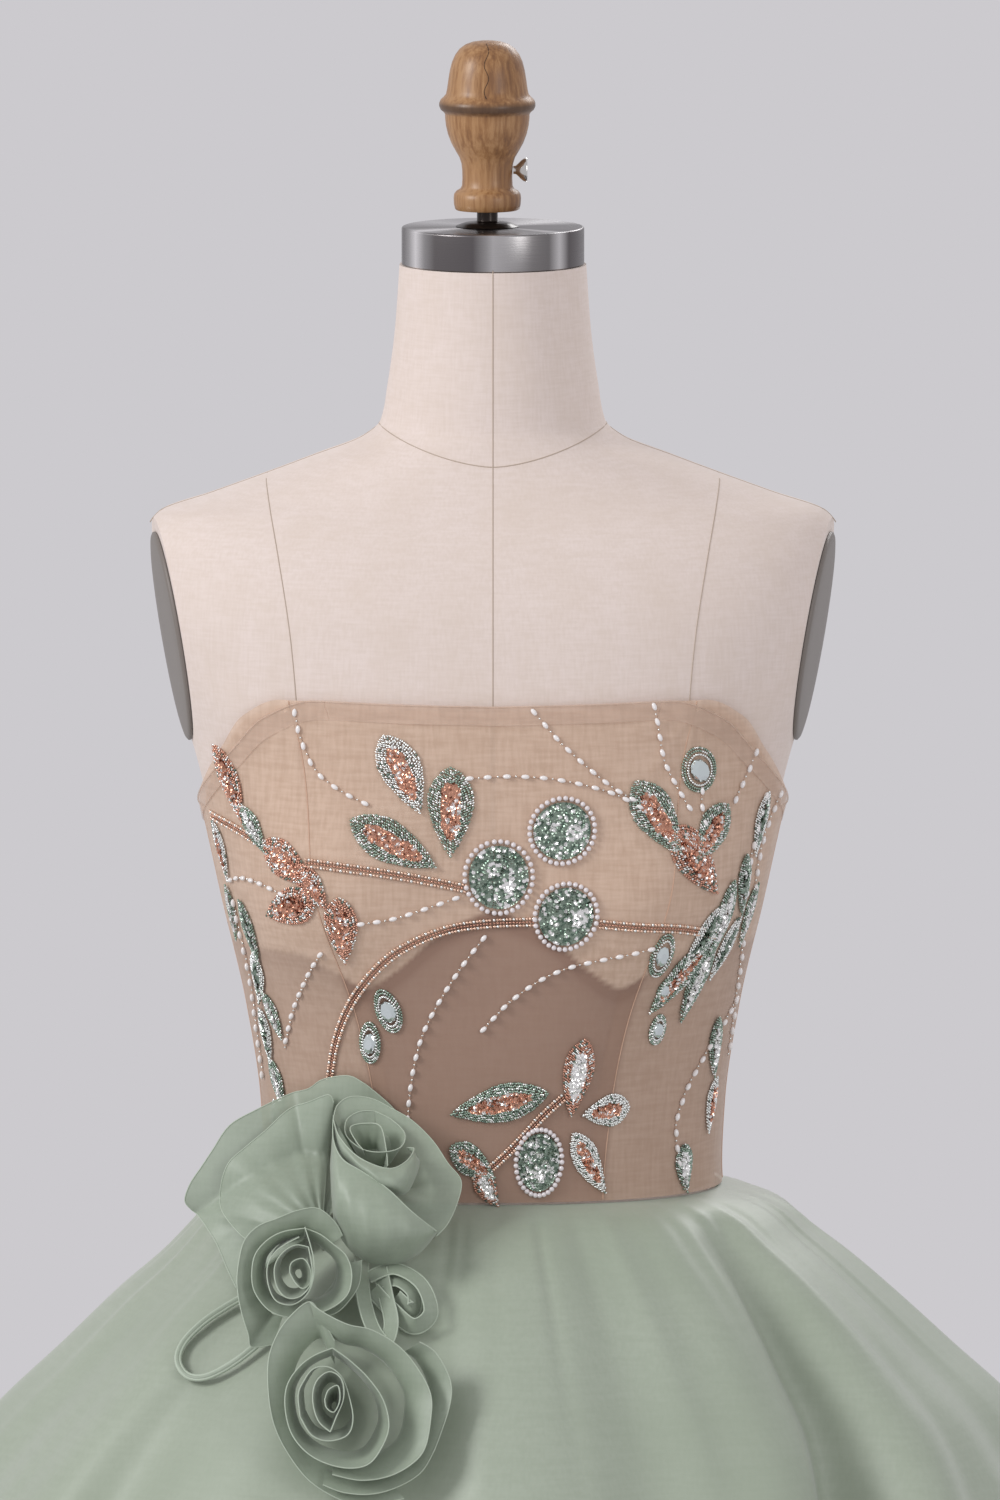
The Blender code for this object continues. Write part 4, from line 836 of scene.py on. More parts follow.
# Bone tapes lie beside the front seams, each with two rows of stitches.
tape, tree, shader = surface_of("nude bone tape", "#E8CDB6", 0.7)
woven(tree, shader, 1.0, 0.08)
for side, label in ((-1, "left"), (1, "right")):
    line = seam_turn("front", side)
    grid = []
    for row in range(41):
        height = 1.0 + 113.0 * row / 40
        start = arc_at(line(height))
        grid.append([body(turn_of(start - side * 9.0 * c / 6), height,
                          CUP_LIFT + 0.35 * math.sin(math.pi * c / 6)) for c in range(7)][::-side])
    bone = sheet_piece("bone_tape_" + label, [grid], tape)
    fasten(bone, "boning", "boning_" + label)

# Seams and the turned top edge, in slightly lighter thread.
thread_nude, tree, shader = surface_of("nude sewing thread", "#C9A68E", 0.7)
seam_lines = []
for column in ("front", "side", "back"):
    for side in (-1, 1):
        line = seam_turn(column, side)
        top = read_table(NECKLINE, abs(line(240)))[0]
        heights = [1.0 + (top - 1.5) * i / 60 for i in range(61)]
        seam_lines.append([body(line(h), h, BODICE_LIFT + 0.1) for h in heights])
fasten(rope("bodice_seams", seam_lines, 0.3, thread_nude), "tulle")
fasten(rope("turned_top_edge", fold_lines, 0.55, tulle_fold), "tulle")

# ------------------------------------------------------------------ beadwork
# A bead worker's frame holds the tulle while each leaf is filled with seed beads and cupped
# sequins, each disc ringed with glass pearls, and each stalk laid as two rows of beads.

Leaf = namedtuple("Leaf", "round height length width lean rim centre")
Disc = namedtuple("Disc", "round height across up")
Gem = namedtuple("Gem", "round height across up lean")
FRONT_LEAVES = (
    Leaf(-43, 233, 43, 21, -20, "silver", "rose"), Leaf(-20.5, 213, 47, 22, 2, "sage", "rose"),
    Leaf(-50, 196, 49, 22, -60, "sage", "rose"), Leaf(84, 209, 47, 21, -35, "sage", "rose"),
    Leaf(108, 184, 46, 20, -42, "rose", "rose"), Leaf(117, 199, 35, 20, 35, "sage", "rose"),
    Leaf(103, 196, 30, 14, -70, "rose", "rose"), Leaf(-109, 184, 36, 19, -58, "rose", "rose"),
    Leaf(-111, 160, 37, 19, 72, "rose", "rose"), Leaf(-81, 149, 36, 17, 6, "rose", "rose"),
    Leaf(-94, 172, 26, 13, -32, "rose", "rose"), Leaf(-148, 223, 42, 16, -17, "rose", "rose"),
    Leaf(-133, 200, 28, 12, -38, "sage", "silver"), Leaf(4, 54, 64, 20, 80, "sage", "rose"),
    Leaf(54.5, 68, 42, 19, 8, "rose", "silver"), Leaf(76, 49, 32, 17, 84, "silver", "rose"),
    Leaf(66, 21, 40, 16, -36, "silver", "rose"), Leaf(-14, 22, 34, 17, -62, "sage", "rose"),
    Leaf(-4, 8, 24, 15, -40, "rose", "silver"), Leaf(-156, 142, 34, 13, -8, "sage", "sage"),
    Leaf(-161, 116, 30, 13, 18, "silver", "sage"), Leaf(-153, 96, 26, 11, -24, "sage", "silver"),
    Leaf(-166, 84, 30, 12, -4, "silver", "sage"), Leaf(-161, 58, 28, 12, -20, "sage", "silver"),
    Leaf(-168, 36, 26, 11, 8, "silver", "sage"), Leaf(112, 121, 48, 17, 38, "sage", "rose"),
    Leaf(128, 117, 44, 15, 14, "sage", "silver"), Leaf(122, 142, 40, 16, 30, "silver", "sage"),
    Leaf(136, 152, 40, 15, 8, "sage", "silver"), Leaf(147, 134, 36, 13, 26, "silver", "sage"),
    Leaf(152, 168, 34, 13, -12, "sage", "sage"), Leaf(160, 200, 34, 12, 4, "silver", "sage"),
    Leaf(167, 150, 34, 12, 12, "sage", "silver"), Leaf(163, 78, 34, 13, -12, "sage", "silver"),
    Leaf(168, 46, 30, 12, 10, "silver", "rose"), Leaf(-172, 184, 32, 12, -10, "silver", "rose"),
    Leaf(-176, 150, 30, 11, 6, "sage", "silver"), Leaf(142, 14, 26, 15, -5, "sage", "silver"),
)
FRONT_DISCS = (
    Disc(3, 178, 16.5, 18.5), Disc(34.5, 203, 15.5, 16.5), Disc(38.5, 157, 15.5, 17),
    Disc(32, 22, 14.5, 17),
)
FRONT_GEMS = (
    Gem(106, 233, 19, 23, -30), Gem(-63, 104, 15, 22, -14), Gem(-78, 86, 13, 21, 10),
    Gem(95, 134, 13, 22, 0), Gem(106, 92, 11, 15, 0), Gem(104, 114, 9, 13, 10),
)
# The back carries a thinner spray, the same on both sides of the zip.
BACK_LEAVES = (
    Leaf(243, 152, 34, 13, 30, "sage", "rose"), Leaf(264, 160, 28, 12, -35, "sage", "rose"),
    Leaf(262, 70, 34, 13, 60, "silver", "rose"), Leaf(292, 62, 28, 11, -30, "sage", "rose"),
    Leaf(342, 152, 32, 13, 25, "sage", "rose"),
)
BACK_DISCS = (Disc(283, 122, 14, 15), Disc(344, 66, 13, 14))
BACK_GEMS = (Gem(246, 108, 11, 18, 0), Gem(352, 112, 11, 17, -10))


def both_sides(motifs):
    """Motifs of the back, with their mirror images across the zip."""
    other = []
    for motif in motifs:
        twin = motif._replace(round=-motif.round)
        other.append(twin if isinstance(motif, Disc) else twin._replace(lean=-motif.lean))
    return motifs + tuple(other)


def on_bodice(arc, height, lift=BEAD_LIFT):
    """A place on the tulle, with the directions round, up and out."""
    turn = turn_of(arc)
    spot = body(turn, height, lift)
    around = (body(turn + 1, height, lift) - body(turn - 1, height, lift)).normalized()
    upward = (body(turn, height + 2, lift) - body(turn, height - 2, lift)).normalized()
    out = around.cross(upward).normalized()
    return spot, around, out.cross(around), out


def ball(sides, rings):
    """Points and faces of a small ball of radius 1."""
    points = [Vector((0, 0, 1))]
    for ring in range(1, rings):
        tilt = math.pi * ring / rings
        for step in range(sides):
            angle = 2 * math.pi * step / sides
            points.append(Vector((math.sin(tilt) * math.cos(angle),
                                  math.sin(tilt) * math.sin(angle), math.cos(tilt))))
    points.append(Vector((0, 0, -1)))
    faces = []
    for step in range(sides):
        after = (step + 1) % sides
        faces.append((0, 1 + step, 1 + after))
        for ring in range(rings - 2):
            a, b = 1 + ring * sides + step, 1 + ring * sides + after
            faces.append((a, a + sides, b + sides, b))
        last = 1 + (rings - 2) * sides
        faces.append((last + step, len(points) - 1, last + after))
    return points, faces


def cupped_sequin():
    """A six-sided sequin with a dished middle."""
    points = [Vector((0, 0, -0.28))]
    points += [Vector((math.cos(math.pi * i / 3), math.sin(math.pi * i / 3), 0)) for i in range(6)]
    return points, [(0, 1 + i, 1 + (i + 1) % 6) for i in range(6)]


def cut_stone():
    """An oval brilliant: a table, two rows of facets and a girdle."""
    points = [Vector((0, 0, 0.5))]
    for ring, (reach, rise) in enumerate(((0.5, 0.5), (0.82, 0.3), (1.0, 0.0))):
        for step in range(10):
            angle = math.pi * (2 * step + (ring % 2)) / 10
            points.append(Vector((math.cos(angle) * reach, math.sin(angle) * reach, rise)))
    faces = [(0, 1 + i, 1 + (i + 1) % 10) for i in range(10)]
    for ring in range(2):
        for i in range(10):
            a, b = 1 + ring * 10 + i, 1 + ring * 10 + (i + 1) % 10
            shift = 0 if ring == 0 else 1
            c = 11 + ring * 10 + (i + shift) % 10
            d = 11 + ring * 10 + (i + shift + 9) % 10
            faces += [(a, c, b), (a, d, c)]
    return points, faces


def join_copies(name, template, spots, material, slot, smooth_angle):
    """Copies of a template at many spots, as one piece. A spot is a middle and three axes."""
    corners, template_faces = template
    points, faces = [], []
    for middle, along, across, out in spots:
        first = len(points)
        points += [middle + along * c.x + across * c.y + out * c.z for c in corners]
        faces += [tuple(first + i for i in face) for face in template_faces]
    piece = make_piece(name, points, faces, material, smooth_angle)
    return fasten(piece, slot)


BEADWORK_SEED = 7
FULL_SPIN = 6.28
random.seed(BEADWORK_SEED)
beads = {name: [] for name in (
    "seed_sage", "seed_silver", "seed_rose", "seed_copper", "seed_dark", "sequin_sage",
    "sequin_silver", "sequin_rose", "sequin_dark", "pearl", "drop_bead", "stone")}


def lay(kind, arc, height, size, frame_here, lift=0.0, tilt=0.0, stretch=1.0, lean=0.0):
    """Sews one bead or sequin on; the frame is the one of its motif's middle."""
    _, around, upward, out = frame_here
    angle = math.radians(lean)
    along = around * math.sin(angle) + upward * math.cos(angle)
    if tilt:
        spin = Matrix.Rotation(random.uniform(0, FULL_SPIN), 3, out)
        out = (out + spin @ around * random.uniform(0, tilt)).normalized()
    across = out.cross(along).normalized()
    along = across.cross(out)
    spot = body(turn_of(arc), height, BEAD_LIFT + lift)
    beads[kind].append((spot, along * size * stretch, across * size, out * size))


LEAF_STEP = 1.3
JITTER = 0.25
RIM_SLANT = 48
SEED_SIZE = 0.62
SEQUIN_SIZE = 1.15
PEARL_SIZE = 1.42
DISC_RINGS = 11
DISC_RING_STEP = 1.38
DISC_REACH = 16.0
SEQUIN_STEP = 1.45
PAINTED_GLINT_OFF = 6
PAINTED_GLINT_REACH = 4.0
RING_PEARLS = 33


def fill_leaf(leaf):
    """A padded leaf: slanting rows of seed beads round a heart of overlapping sequins."""
    here = on_bodice(leaf.round, leaf.height)
    tilt = math.radians(leaf.lean)
    half, long = leaf.width / 2, leaf.length / 2
    rows = round(2 * long / LEAF_STEP)
    for row in range(rows + 1):
        along = -long + 2 * long * row / rows
        reach = half * (1 - abs(along / long) ** 1.7) ** 0.85
        count = max(1, round(reach / LEAF_STEP))
        for column in range(-count, count + 1):
            across = reach * column / count
            slanted = along + 0.5 * abs(across)
            heart = math.hypot(across / (half * 0.46), along / (long * 0.66))
            dome = 1.4 * max(0.0, 1 - (across / (reach + 0.6)) ** 2) ** 0.5
            q = leaf.round + slanted * math.sin(tilt) + across * math.cos(tilt)
            h = leaf.height + slanted * math.cos(tilt) - across * math.sin(tilt)
            q += random.uniform(-JITTER, JITTER)
            h += random.uniform(-JITTER, JITTER)
            if abs(slanted) > long + 1.0:
                continue
            if heart > 1.0:
                kind = random.choices((leaf.rim, "silver", "dark"), (0.62, 0.3, 0.08))[0]
                slant = leaf.lean + (RIM_SLANT if across > 0 else -RIM_SLANT)
                lay("seed_" + kind, q, h, SEED_SIZE, here, dome, 0.0, 1.6, slant)
            else:
                kind = random.choices((leaf.centre, "silver"), (0.84, 0.16))[0]
                lay("sequin_" + kind, q, h, SEQUIN_SIZE, here, dome + 0.2, 0.7, 1.0,
                    random.uniform(0, 60))


def fill_disc(disc):
    """A padded disc of overlapping sequins with one ring of pearls."""
    here = on_bodice(disc.round, disc.height)
    # Most sequins within 4 mm of one spot, 6 mm off the disc's middle, are silver and larger: a
    # painted glint. Elsewhere about a sixth are silver at random.
    gleam = random.uniform(0, FULL_SPIN)
    for ring in range(DISC_RINGS):
        reach = 0.2 + DISC_RING_STEP * ring
        for step in range(max(1, round(2 * math.pi * reach / SEQUIN_STEP))):
            angle = step * SEQUIN_STEP / max(reach, 0.3) + ring
            across = math.cos(angle) * reach * disc.across / DISC_REACH
            up = math.sin(angle) * reach * disc.up / DISC_REACH
            dome = 1.3 * math.cos(min(1.5, reach / 11.5))
            near = math.hypot(across - PAINTED_GLINT_OFF * math.cos(gleam), up - PAINTED_GLINT_OFF * math.sin(gleam))
            bright = random.random() < (0.75 if near < PAINTED_GLINT_REACH else 0.16)
            kind = "sequin_silver" if bright else random.choice(
                ("sequin_sage", "sequin_sage", "sequin_dark"))
            lay(kind, disc.round + across, disc.height + up, 1.25 if bright else 1.05, here,
                max(0.2, dome) + 0.3, 0.5, 1.0, random.uniform(0, 60))
    for step in range(RING_PEARLS):
        angle = 2 * math.pi * step / RING_PEARLS
        lay("pearl", disc.round + math.cos(angle) * (disc.across + 0.9),
            disc.height + math.sin(angle) * (disc.up + 0.9), PEARL_SIZE, here, 0.9)


def set_gem(gem):
    """A foiled glass stone in a collar of seed beads and sequins."""
    here = on_bodice(gem.round, gem.height)
    tilt = math.radians(gem.lean)
    lay("stone", gem.round, gem.height, gem.across * 0.29, here, 1.3, 0.0, gem.up / gem.across,
        gem.lean)
    for ring, (share, kind) in enumerate(((0.72, "silver"), (0.88, "sage"), (1.02, "sage"))):
        across, up = gem.across / 2 * share, gem.up / 2 * share
        count = round(math.pi * (across + up) / 1.35)
        for step in range(count):
            angle = 2 * math.pi * (step + 0.5 * (ring % 2)) / count
            q, h = math.cos(angle) * across, math.sin(angle) * up
            drawn = 1 + 0.12 * max(0.0, math.sin(angle)) ** 3
            spot = (gem.round + q * math.cos(tilt) + h * drawn * math.sin(tilt),
                    gem.height + h * drawn * math.cos(tilt) - q * math.sin(tilt))
            kind_here = kind if random.random() < 0.7 else "silver"
            lay("seed_" + kind_here, *spot, 0.72, here, 1.2 - 0.4 * ring, 0.0, 1.2,
                math.degrees(angle))


for leaf in FRONT_LEAVES + both_sides(BACK_LEAVES):
    fill_leaf(leaf)
for disc in FRONT_DISCS + both_sides(BACK_DISCS):
    fill_disc(disc)
for gem in FRONT_GEMS + both_sides(BACK_GEMS):
    set_gem(gem)

# Stalks and strands, as places (arc, height) that a smooth line runs through.
STALKS = (
    ((-97, 185), (-84, 184), (-60, 181), (-37, 177), (-14, 172)),
    ((-112, 62), (-103, 84), (-87, 107), (-63, 130), (-44, 142), (-23, 150), (-1, 153), (22, 154)),
    ((57, 153), (78, 151), (102, 149), (132, 143)),
    ((-177, 203), (-151, 199), (-127, 192), (-112, 184)),
    ((-14, 12), (5, 23), (19, 34), (33, 47), (46, 57)),
)
STRANDS = (
    ((-94, 264), (-94, 249), (-89, 234), (-77, 224), (-61, 216)),
    ((-11, 231), (10, 232), (32, 230), (58, 223), (76, 214)),
    ((18, 266), (31, 250), (47, 235), (60, 225), (74, 217)),
    ((74, 268), (79, 255), (85, 239), (93, 226), (103, 212)),
    ((143, 240), (140, 230), (133, 215)),
    ((-70, 153), (-52, 156), (-33, 162), (-16, 168)),
    ((-5, 145), (-17, 130), (-31, 111), (-42, 94), (-49, 78), (-54, 61), (-57, 45)),
    ((-6, 95), (10, 110), (27, 122), (43, 129), (60, 133), (76, 136), (89, 139)),
    ((-97, 135), (-116, 117), (-131, 102), (-140, 90), (-148, 78)),
    ((-166, 169), (-150, 172), (-130, 171), (-113, 167)),
    ((183, 102), (159, 82), (142, 62), (135, 49), (132, 36), (139, 10)),
    ((-169, 156), (-170, 144), (-173, 116), (-180, 86), (-184, 58)),
    ((160, 215), (157, 196), (155, 178), (158, 160)),
    ((178, 214), (168, 196), (166, 178), (170, 160)),
    ((166, 142), (176, 120), (184, 96), (190, 70)),
    ((109, 222), (110, 212), (113, 203)),
    ((258, 176), (262, 150), (256, 120), (262, 92)),
    ((-258, 176), (-262, 150), (-256, 120), (-262, 92)),
    ((335, 170), (330, 130), (338, 90)), ((-335, 170), (-330, 130), (-338, 90)),
)


def curve_point(points, i, t):
    """A place past point i of a smooth line, a share t of the way to the next point."""
    a, b, c, d = [Vector(points[max(0, min(len(points) - 1, i + k))]) for k in (-1, 0, 1, 2)]
    return 0.5 * (2 * b + (c - a) * t + (2 * a - 5 * b + 4 * c - d) * t ** 2
                  + (3 * b - a - 3 * c + d) * t ** 3)


def smooth_line(knots, spacing):
    """Places a spacing apart on a smooth line through knots, each with the line's direction."""
    fine = [curve_point(knots, i, step / 20) for i in range(len(knots) - 1) for step in range(20)]
    fine.append(Vector(knots[-1]))
    places, gone = [], 0.0
    for here, there in zip(fine, fine[1:]):
        length = (there - here).length
        while gone <= length and length > 0:
            places.append((here + (there - here) * (gone / length), (there - here).normalized()))
            gone += spacing
        gone -= length
    return places


STALK_STEP = 1.75
STALK_HALF_WIDTH = 1.8
STRAND_STEP = 2.2
strand_threads = []
for stalk in STALKS:
    for i, (place, run) in enumerate(smooth_line(stalk, STALK_STEP)):
        here = on_bodice(place.x, place.y)
        aside = Vector((run.y, -run.x))
        lean = math.degrees(math.atan2(run.x, run.y))
        for side in (-1, 0, 1):
            spot = place + aside * STALK_HALF_WIDTH * side
            if side == 0:
                lay("seed_rose", spot.x, spot.y, 0.6, here, 0.1, 0.0, 1.5, lean)
            else:
                kind = "seed_silver" if (i + side) % 3 == 0 else "seed_copper"
                lay(kind, spot.x, spot.y, 1.0, here, 0.4)
for strand in STRANDS:
    for i, (place, run) in enumerate(smooth_line(strand, STRAND_STEP)):
        here = on_bodice(place.x, place.y)
        lean = math.degrees(math.atan2(run.x, run.y))
        if i % 4 == 0:
            lay("drop_bead", place.x, place.y, 1.35, here, 0.7, 0.0, 1.75, lean)
        elif i % 4 == 2:
            lay("seed_silver", place.x, place.y, 0.6, here, 0.2, 0.0, 1.2, lean)
    strand_threads.append([body(turn_of(p.x), p.y, BEAD_LIFT + 0.1)
                           for p, _ in smooth_line(strand, 2.0)])

# Sage, silver and rose-gold glass: each seed bead is lined with foil and shows one small glint.
# Sequins are coated film, which flashes white where a facet meets a lamp.
GLASS = (
    ("seed_sage", "foiled sage glass", "#9DAFA0", 0.2, 0.8),
    ("seed_silver", "silver-lined glass", "#F2F4F1", 0.14, 0.85),
    ("seed_rose", "foiled rose glass", "#D6A48E", 0.2, 0.8),
    ("seed_copper", "copper-lined glass", "#E6C4AE", 0.2, 0.7),
    ("seed_dark", "smoked green glass", "#74857A", 0.2, 0.6),
    ("sequin_sage", "sage sequin film", "#8C9C8E", 0.2, 0.95),
    ("sequin_silver", "silver sequin film", "#FAFAF8", 0.16, 0.95),
    ("sequin_rose", "rose-gold sequin film", "#CF9A82", 0.2, 0.95),
    ("sequin_dark", "bottle-green sequin film", "#64776A", 0.18, 0.95),
)
for kind, name, colour, roughness, metallic in GLASS:
    glass, tree, shader = surface_of(name, colour, roughness, metallic)
    shine = ranged(tree, noise(tree, 700.0, 1.0), From_Min=0.3, From_Max=0.7,
                   To_Min=roughness * 0.6, To_Max=roughness * 1.7)
    tree.links.new(shine, shader.inputs["Roughness"])
    if kind.startswith("seed"):
        join_copies(kind + "_beads", ball(5, 4), beads[kind], glass, "tulle", 80)
    else:
        join_copies(kind + "s", cupped_sequin(), beads[kind], glass, "tulle", 5)

# Glass pearls: creamy white, with a soft round highlight.
pearl_coat, tree, shader = surface_of("glass pearl coat", "#E6DFE0", 0.22, 0.0, Coat_Weight=0.6,
                                      Coat_Roughness=0.1, Sheen_Weight=0.3)
join_copies("pearl_rings", ball(10, 7), beads["pearl"], pearl_coat, "tulle", 80)
# Oval opal glass beads, milky and bright.
opal, tree, shader = surface_of("opal glass", "#F2EEEC", 0.1, 0.0, Coat_Weight=0.5)
join_copies("drop_beads", ball(8, 6), beads["drop_bead"], opal, "tulle", 80)
# Foil-backed cut glass: clear, with sharp flashes from facet to facet.
foiled, tree, shader = surface_of("foil-backed cut glass", "#DCE6E6", 0.05, 0.85)
join_copies("cut_stones", cut_stone(), beads["stone"], foiled, "tulle", 3)
fasten(rope("bead_threads", strand_threads, 0.22, thread_nude, resolution=0), "tulle")

# ------------------------------------------------------------------ skirt
# A full skirt of crisp sage organza in three gored panels, gathered into the waist seam. It
# falls in soft unpressed folds to a narrow rolled hem.

SkirtRow = namedtuple("SkirtRow", "drop left right front back square")
SKIRT_ROWS = (
    SkirtRow(1.1, 122.4, 122.4, 90.4, 86.8, 2.2), SkirtRow(2.6, 129, 129, 97, 93, 2.2),
    SkirtRow(6, 141, 142, 109, 106, 2.15), SkirtRow(13, 153, 157, 123, 121, 2.1),
    SkirtRow(24, 163, 170, 137, 134, 2.1), SkirtRow(38, 176, 188, 151, 149, 2.1),
    SkirtRow(60, 201, 213, 170, 170, 2.1), SkirtRow(88, 229, 243, 190, 193, 2.1),
    SkirtRow(121, 263, 278, 210, 216, 2.1), SkirtRow(170, 304, 312, 238, 248, 2.1),
    SkirtRow(230, 343, 347, 268, 282, 2.1), SkirtRow(325, 389, 391, 309, 325, 2.1),
    SkirtRow(430, 426, 426, 345, 362, 2.1),
)
FOLD_START = 8.0
Fold = namedtuple("Fold", "turn drift spread rise")
FOLDS = (
    Fold(-166, -3, 11, -16), Fold(-150, 2, 10, 18), Fold(-136, -2, 9, -20), Fold(-122, 4, 11, 18),
    Fold(-104, -3, 10, -18), Fold(-88, 0, 10, 10), Fold(-67, -8, 9, -12), Fold(-50, -7, 9, 16),
    Fold(-41, -4, 8, -13), Fold(-27, -2, 10, 9), Fold(-8, 0, 8, -22), Fold(4, 0, 9, 13),
    Fold(17, -2, 7, -17), Fold(35, -16, 7, 12), Fold(48.5, -24, 8, -76), Fold(60, -26, 7, 22),
    Fold(76, -12, 9, -14), Fold(90, -6, 9, 12), Fold(102, 0, 10, -18), Fold(116, -2, 11, 18),
    Fold(133, 3, 10, -18), Fold(149, -3, 9, 16), Fold(163, 2, 9, -14), Fold(177, 0, 8, 12),
)


def fold_rise(turn, drop):
    """How far the folds move the skirt's cloth out at a place."""
    grown = max(0.0, drop - FOLD_START) / (SKIRT_ROWS[-1].drop - FOLD_START)
    total = 0.0
    for fold in FOLDS:
        aside = (turn - fold.turn - fold.drift * grown + 180) % 360 - 180
        if abs(aside) < fold.spread:
            total += fold.rise * (1 + math.cos(math.pi * aside / fold.spread)) / 2
    return total * grown ** 0.6


def gather_rise(turn, drop):
    """Small gathers that spring from the waist seam and fade within a hand's breadth."""
    total = 0.0
    for turn_0, width, rise, reach in GATHERS:
        aside = (turn - turn_0 + 180) % 360 - 180
        if abs(aside) < 3 * width:
            fade = min(1.0, drop / 9.0) * math.exp(-(drop / reach) ** 2)
            total += rise * math.exp(-(aside / width) ** 2) * fade
    return total


SKIRT_SEED = 11
random.seed(SKIRT_SEED)
GATHERS = [(turn + random.uniform(-2.4, 2.4), random.uniform(0.9, 2.6), random.uniform(-2.9, 2.7),
            random.uniform(25, 100)) for turn in range(-180, 180, 5)]


def skirt_section(drop, side):
    """Half width, depths and squareness of the skirt; a side below zero is the viewer's left."""
    left, right, front, back, square = read_table(SKIRT_ROWS, round(drop, 2))
    return (left if side < 0 else right), front, back, square


def skirt_middle(turn, drop):
    """Point in the middle of the skirt's cloth."""
    section = skirt_section(drop, turn)
    rise = fold_rise(turn, drop) + gather_rise(turn, drop)
    point = oval(turn, *section) + oval_normal(turn, *section) * rise
    return Vector((point.x, point.y, -drop))


# Sage polyester organza, several layers deep: crisp, finely woven, with a soft silky gleam along
# the folds. Threads 0.15 mm apart are drawn 1.1 mm apart, so that they show.
organza, tree, shader = surface_of("sage organza", "#A5AF9E", 0.46, Sheen_Weight=0.35,
                                   Sheen_Roughness=0.4)
cloth = woven(tree, shader, 1.1, 0.06, "#97A28F", 0.4)
clouded(tree, shader, cloth, 5.0, 2.0, {"From_Min": 0.4, "From_Max": 0.7, "To_Max": 0.5}, "#97A38F")

ZIP_BOTTOM = 133
drops = [1.1, 1.8, 2.6, 4.0, 6.0, 8.5, 11.0] + [14 + 4.5 * i for i in range(24)]
drops += [122 + 7.0 * i for i in range(44)] + [430.0]
SkirtPanel = namedtuple("SkirtPanel", "node left right flat area")
hem_lines = []
for panel in (SkirtPanel("skirt_front", -90, 90, (1.35, 0.57), 0.50),
              SkirtPanel("skirt_back_right", 90, 180, (0.70, 0.57), 0.26),
              SkirtPanel("skirt_back_left", -180, -90, (0.70, 0.57), 0.26)):
    columns = round((panel.right - panel.left) / 0.75)
    grid = []
    for drop in drops:
        line = []
        for column in range(columns + 1):
            turn = panel.left + (panel.right - panel.left) * column / columns
            point = skirt_middle(turn, drop)
            if abs(abs(turn) - 180) < 0.01 and drop < ZIP_BOTTOM:
                point.x = math.copysign(ZIP_HALF_GAP, panel.left + panel.right)
            line.append(point)
        grid.append(line)
    cloth_piece = sheet_piece(panel.node.replace("skirt", "organza_skirt"), [grid[::-1]], organza, 70)
    fasten(cloth_piece, "organza", panel.node)
    hem_lines.append(grid[-1])
fasten(rope("rolled_hem", hem_lines, 0.8, organza), "organza")

# ------------------------------------------------------------------ centre back zip
# A nylon coil zip on a woven tape, nude in the bodice, runs on into the skirt. Its slider and
# pull tab are plain pressed metal.

nylon, tree, shader = surface_of("nude nylon coil", "#C6A58D", 0.4)
zip_tape, tree, shader = surface_of("woven zip tape", "#B08E76", 0.8)
woven(tree, shader, 1.0, 0.08)
ZIP_STEP = 3.0
places = [body(180, 191.0 - ZIP_STEP * i, 2.6) for i in range(64)]
places += [skirt_middle(180, 2.6 + ZIP_STEP * i) + Vector((0.0, -0.4, 0.0)) for i in range(42)]
grid = [[p + Vector((x, 0, 0)) for x in (2.6, 1.3, 0.0, -1.3, -2.6)] for p in places]
tape_piece = sheet_piece("zip_tape_strip", [grid[::-1]], zip_tape)
fasten(tape_piece, "zip_tape", "zip_strip")
coil = []
for a, b in zip(places, places[1:]):
    for part in range(3):
        spot = a + (b - a) * part / 3
        coil.append(spot + Vector((1.1 if part % 2 else -1.1, 0.55, 0.0)))
fasten(rope("zip_coil", [coil], 0.42, nylon, resolution=1), "zip_tape")

pale_gold, tree, shader = surface_of("pale gold plated zinc", "#B8A888", 0.24, 1.0)
scuffs = ranged(tree, noise(tree, 600.0, 3.0), To_Min=0.15, To_Max=0.38)
tree.links.new(scuffs, shader.inputs["Roughness"])
for node in ("zip_slider", "zip_pull"):
    metal_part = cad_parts[node]
    metal_part.data.materials.clear()
    metal_part.data.materials.append(pale_gold)

# ------------------------------------------------------------------ organza roses
# Each rose is a doubled bias strip of organza, rolled up and caught at the foot, so its petals
# stand round one another like cups and every edge is a soft fold, drawn lighter with a painted
# highlight.

ROSE_SLOPE = 0.55
BODICE_OUTSIDE = 3.5
SKIRT_WALL = 1.6


def level_gap(point):
    """Level distance from a point to the outside of the dress; below zero inside it."""
    drop = -point.z
    if drop < SKIRT_ROWS[0].drop:
        half_width, front, back, _, square = read_table(BODY_ROWS, round(point.z, 1))
        lift = BODICE_OUTSIDE
    else:
        half_width, front, back, square = skirt_section(round(drop, 1), point.x)
        lift = SKIRT_WALL
    depth = front if point.y < 0 else back
    across = (abs(point.x) / half_width) ** square
    ahead = (abs(point.y) / depth) ** square
    share = max(0.001, (across + ahead) ** (1 / square))
    turn = math.degrees(math.atan2(across ** 0.5, ahead ** 0.5))
    turn = math.copysign(turn if point.y < 0 else 180 - turn, point.x)
    if drop >= SKIRT_ROWS[0].drop:
        lift += fold_rise(turn, drop)
    else:
        lift += bust_rise(turn, point.z)
    return math.hypot(point.x, point.y) * (1 - 1 / share) - lift


def cloth_gap(point):
    """The same, or that from just below the point if it is less."""
    return min(level_gap(point), level_gap(point - Vector((0.0, 0.0, 2.5))))


def seated(point, clearance, reach=120.0):
    """The point, moved level to the front or back until it lies just clear of the dress."""
    near, far = -reach, reach
    ahead = Vector((0.0, -1.0, 0.0))
    for _ in range(20):
        middle = (near + far) / 2
        if cloth_gap(point + ahead * middle) > clearance:
            far = middle
        else:
            near = middle
    return point + ahead * far


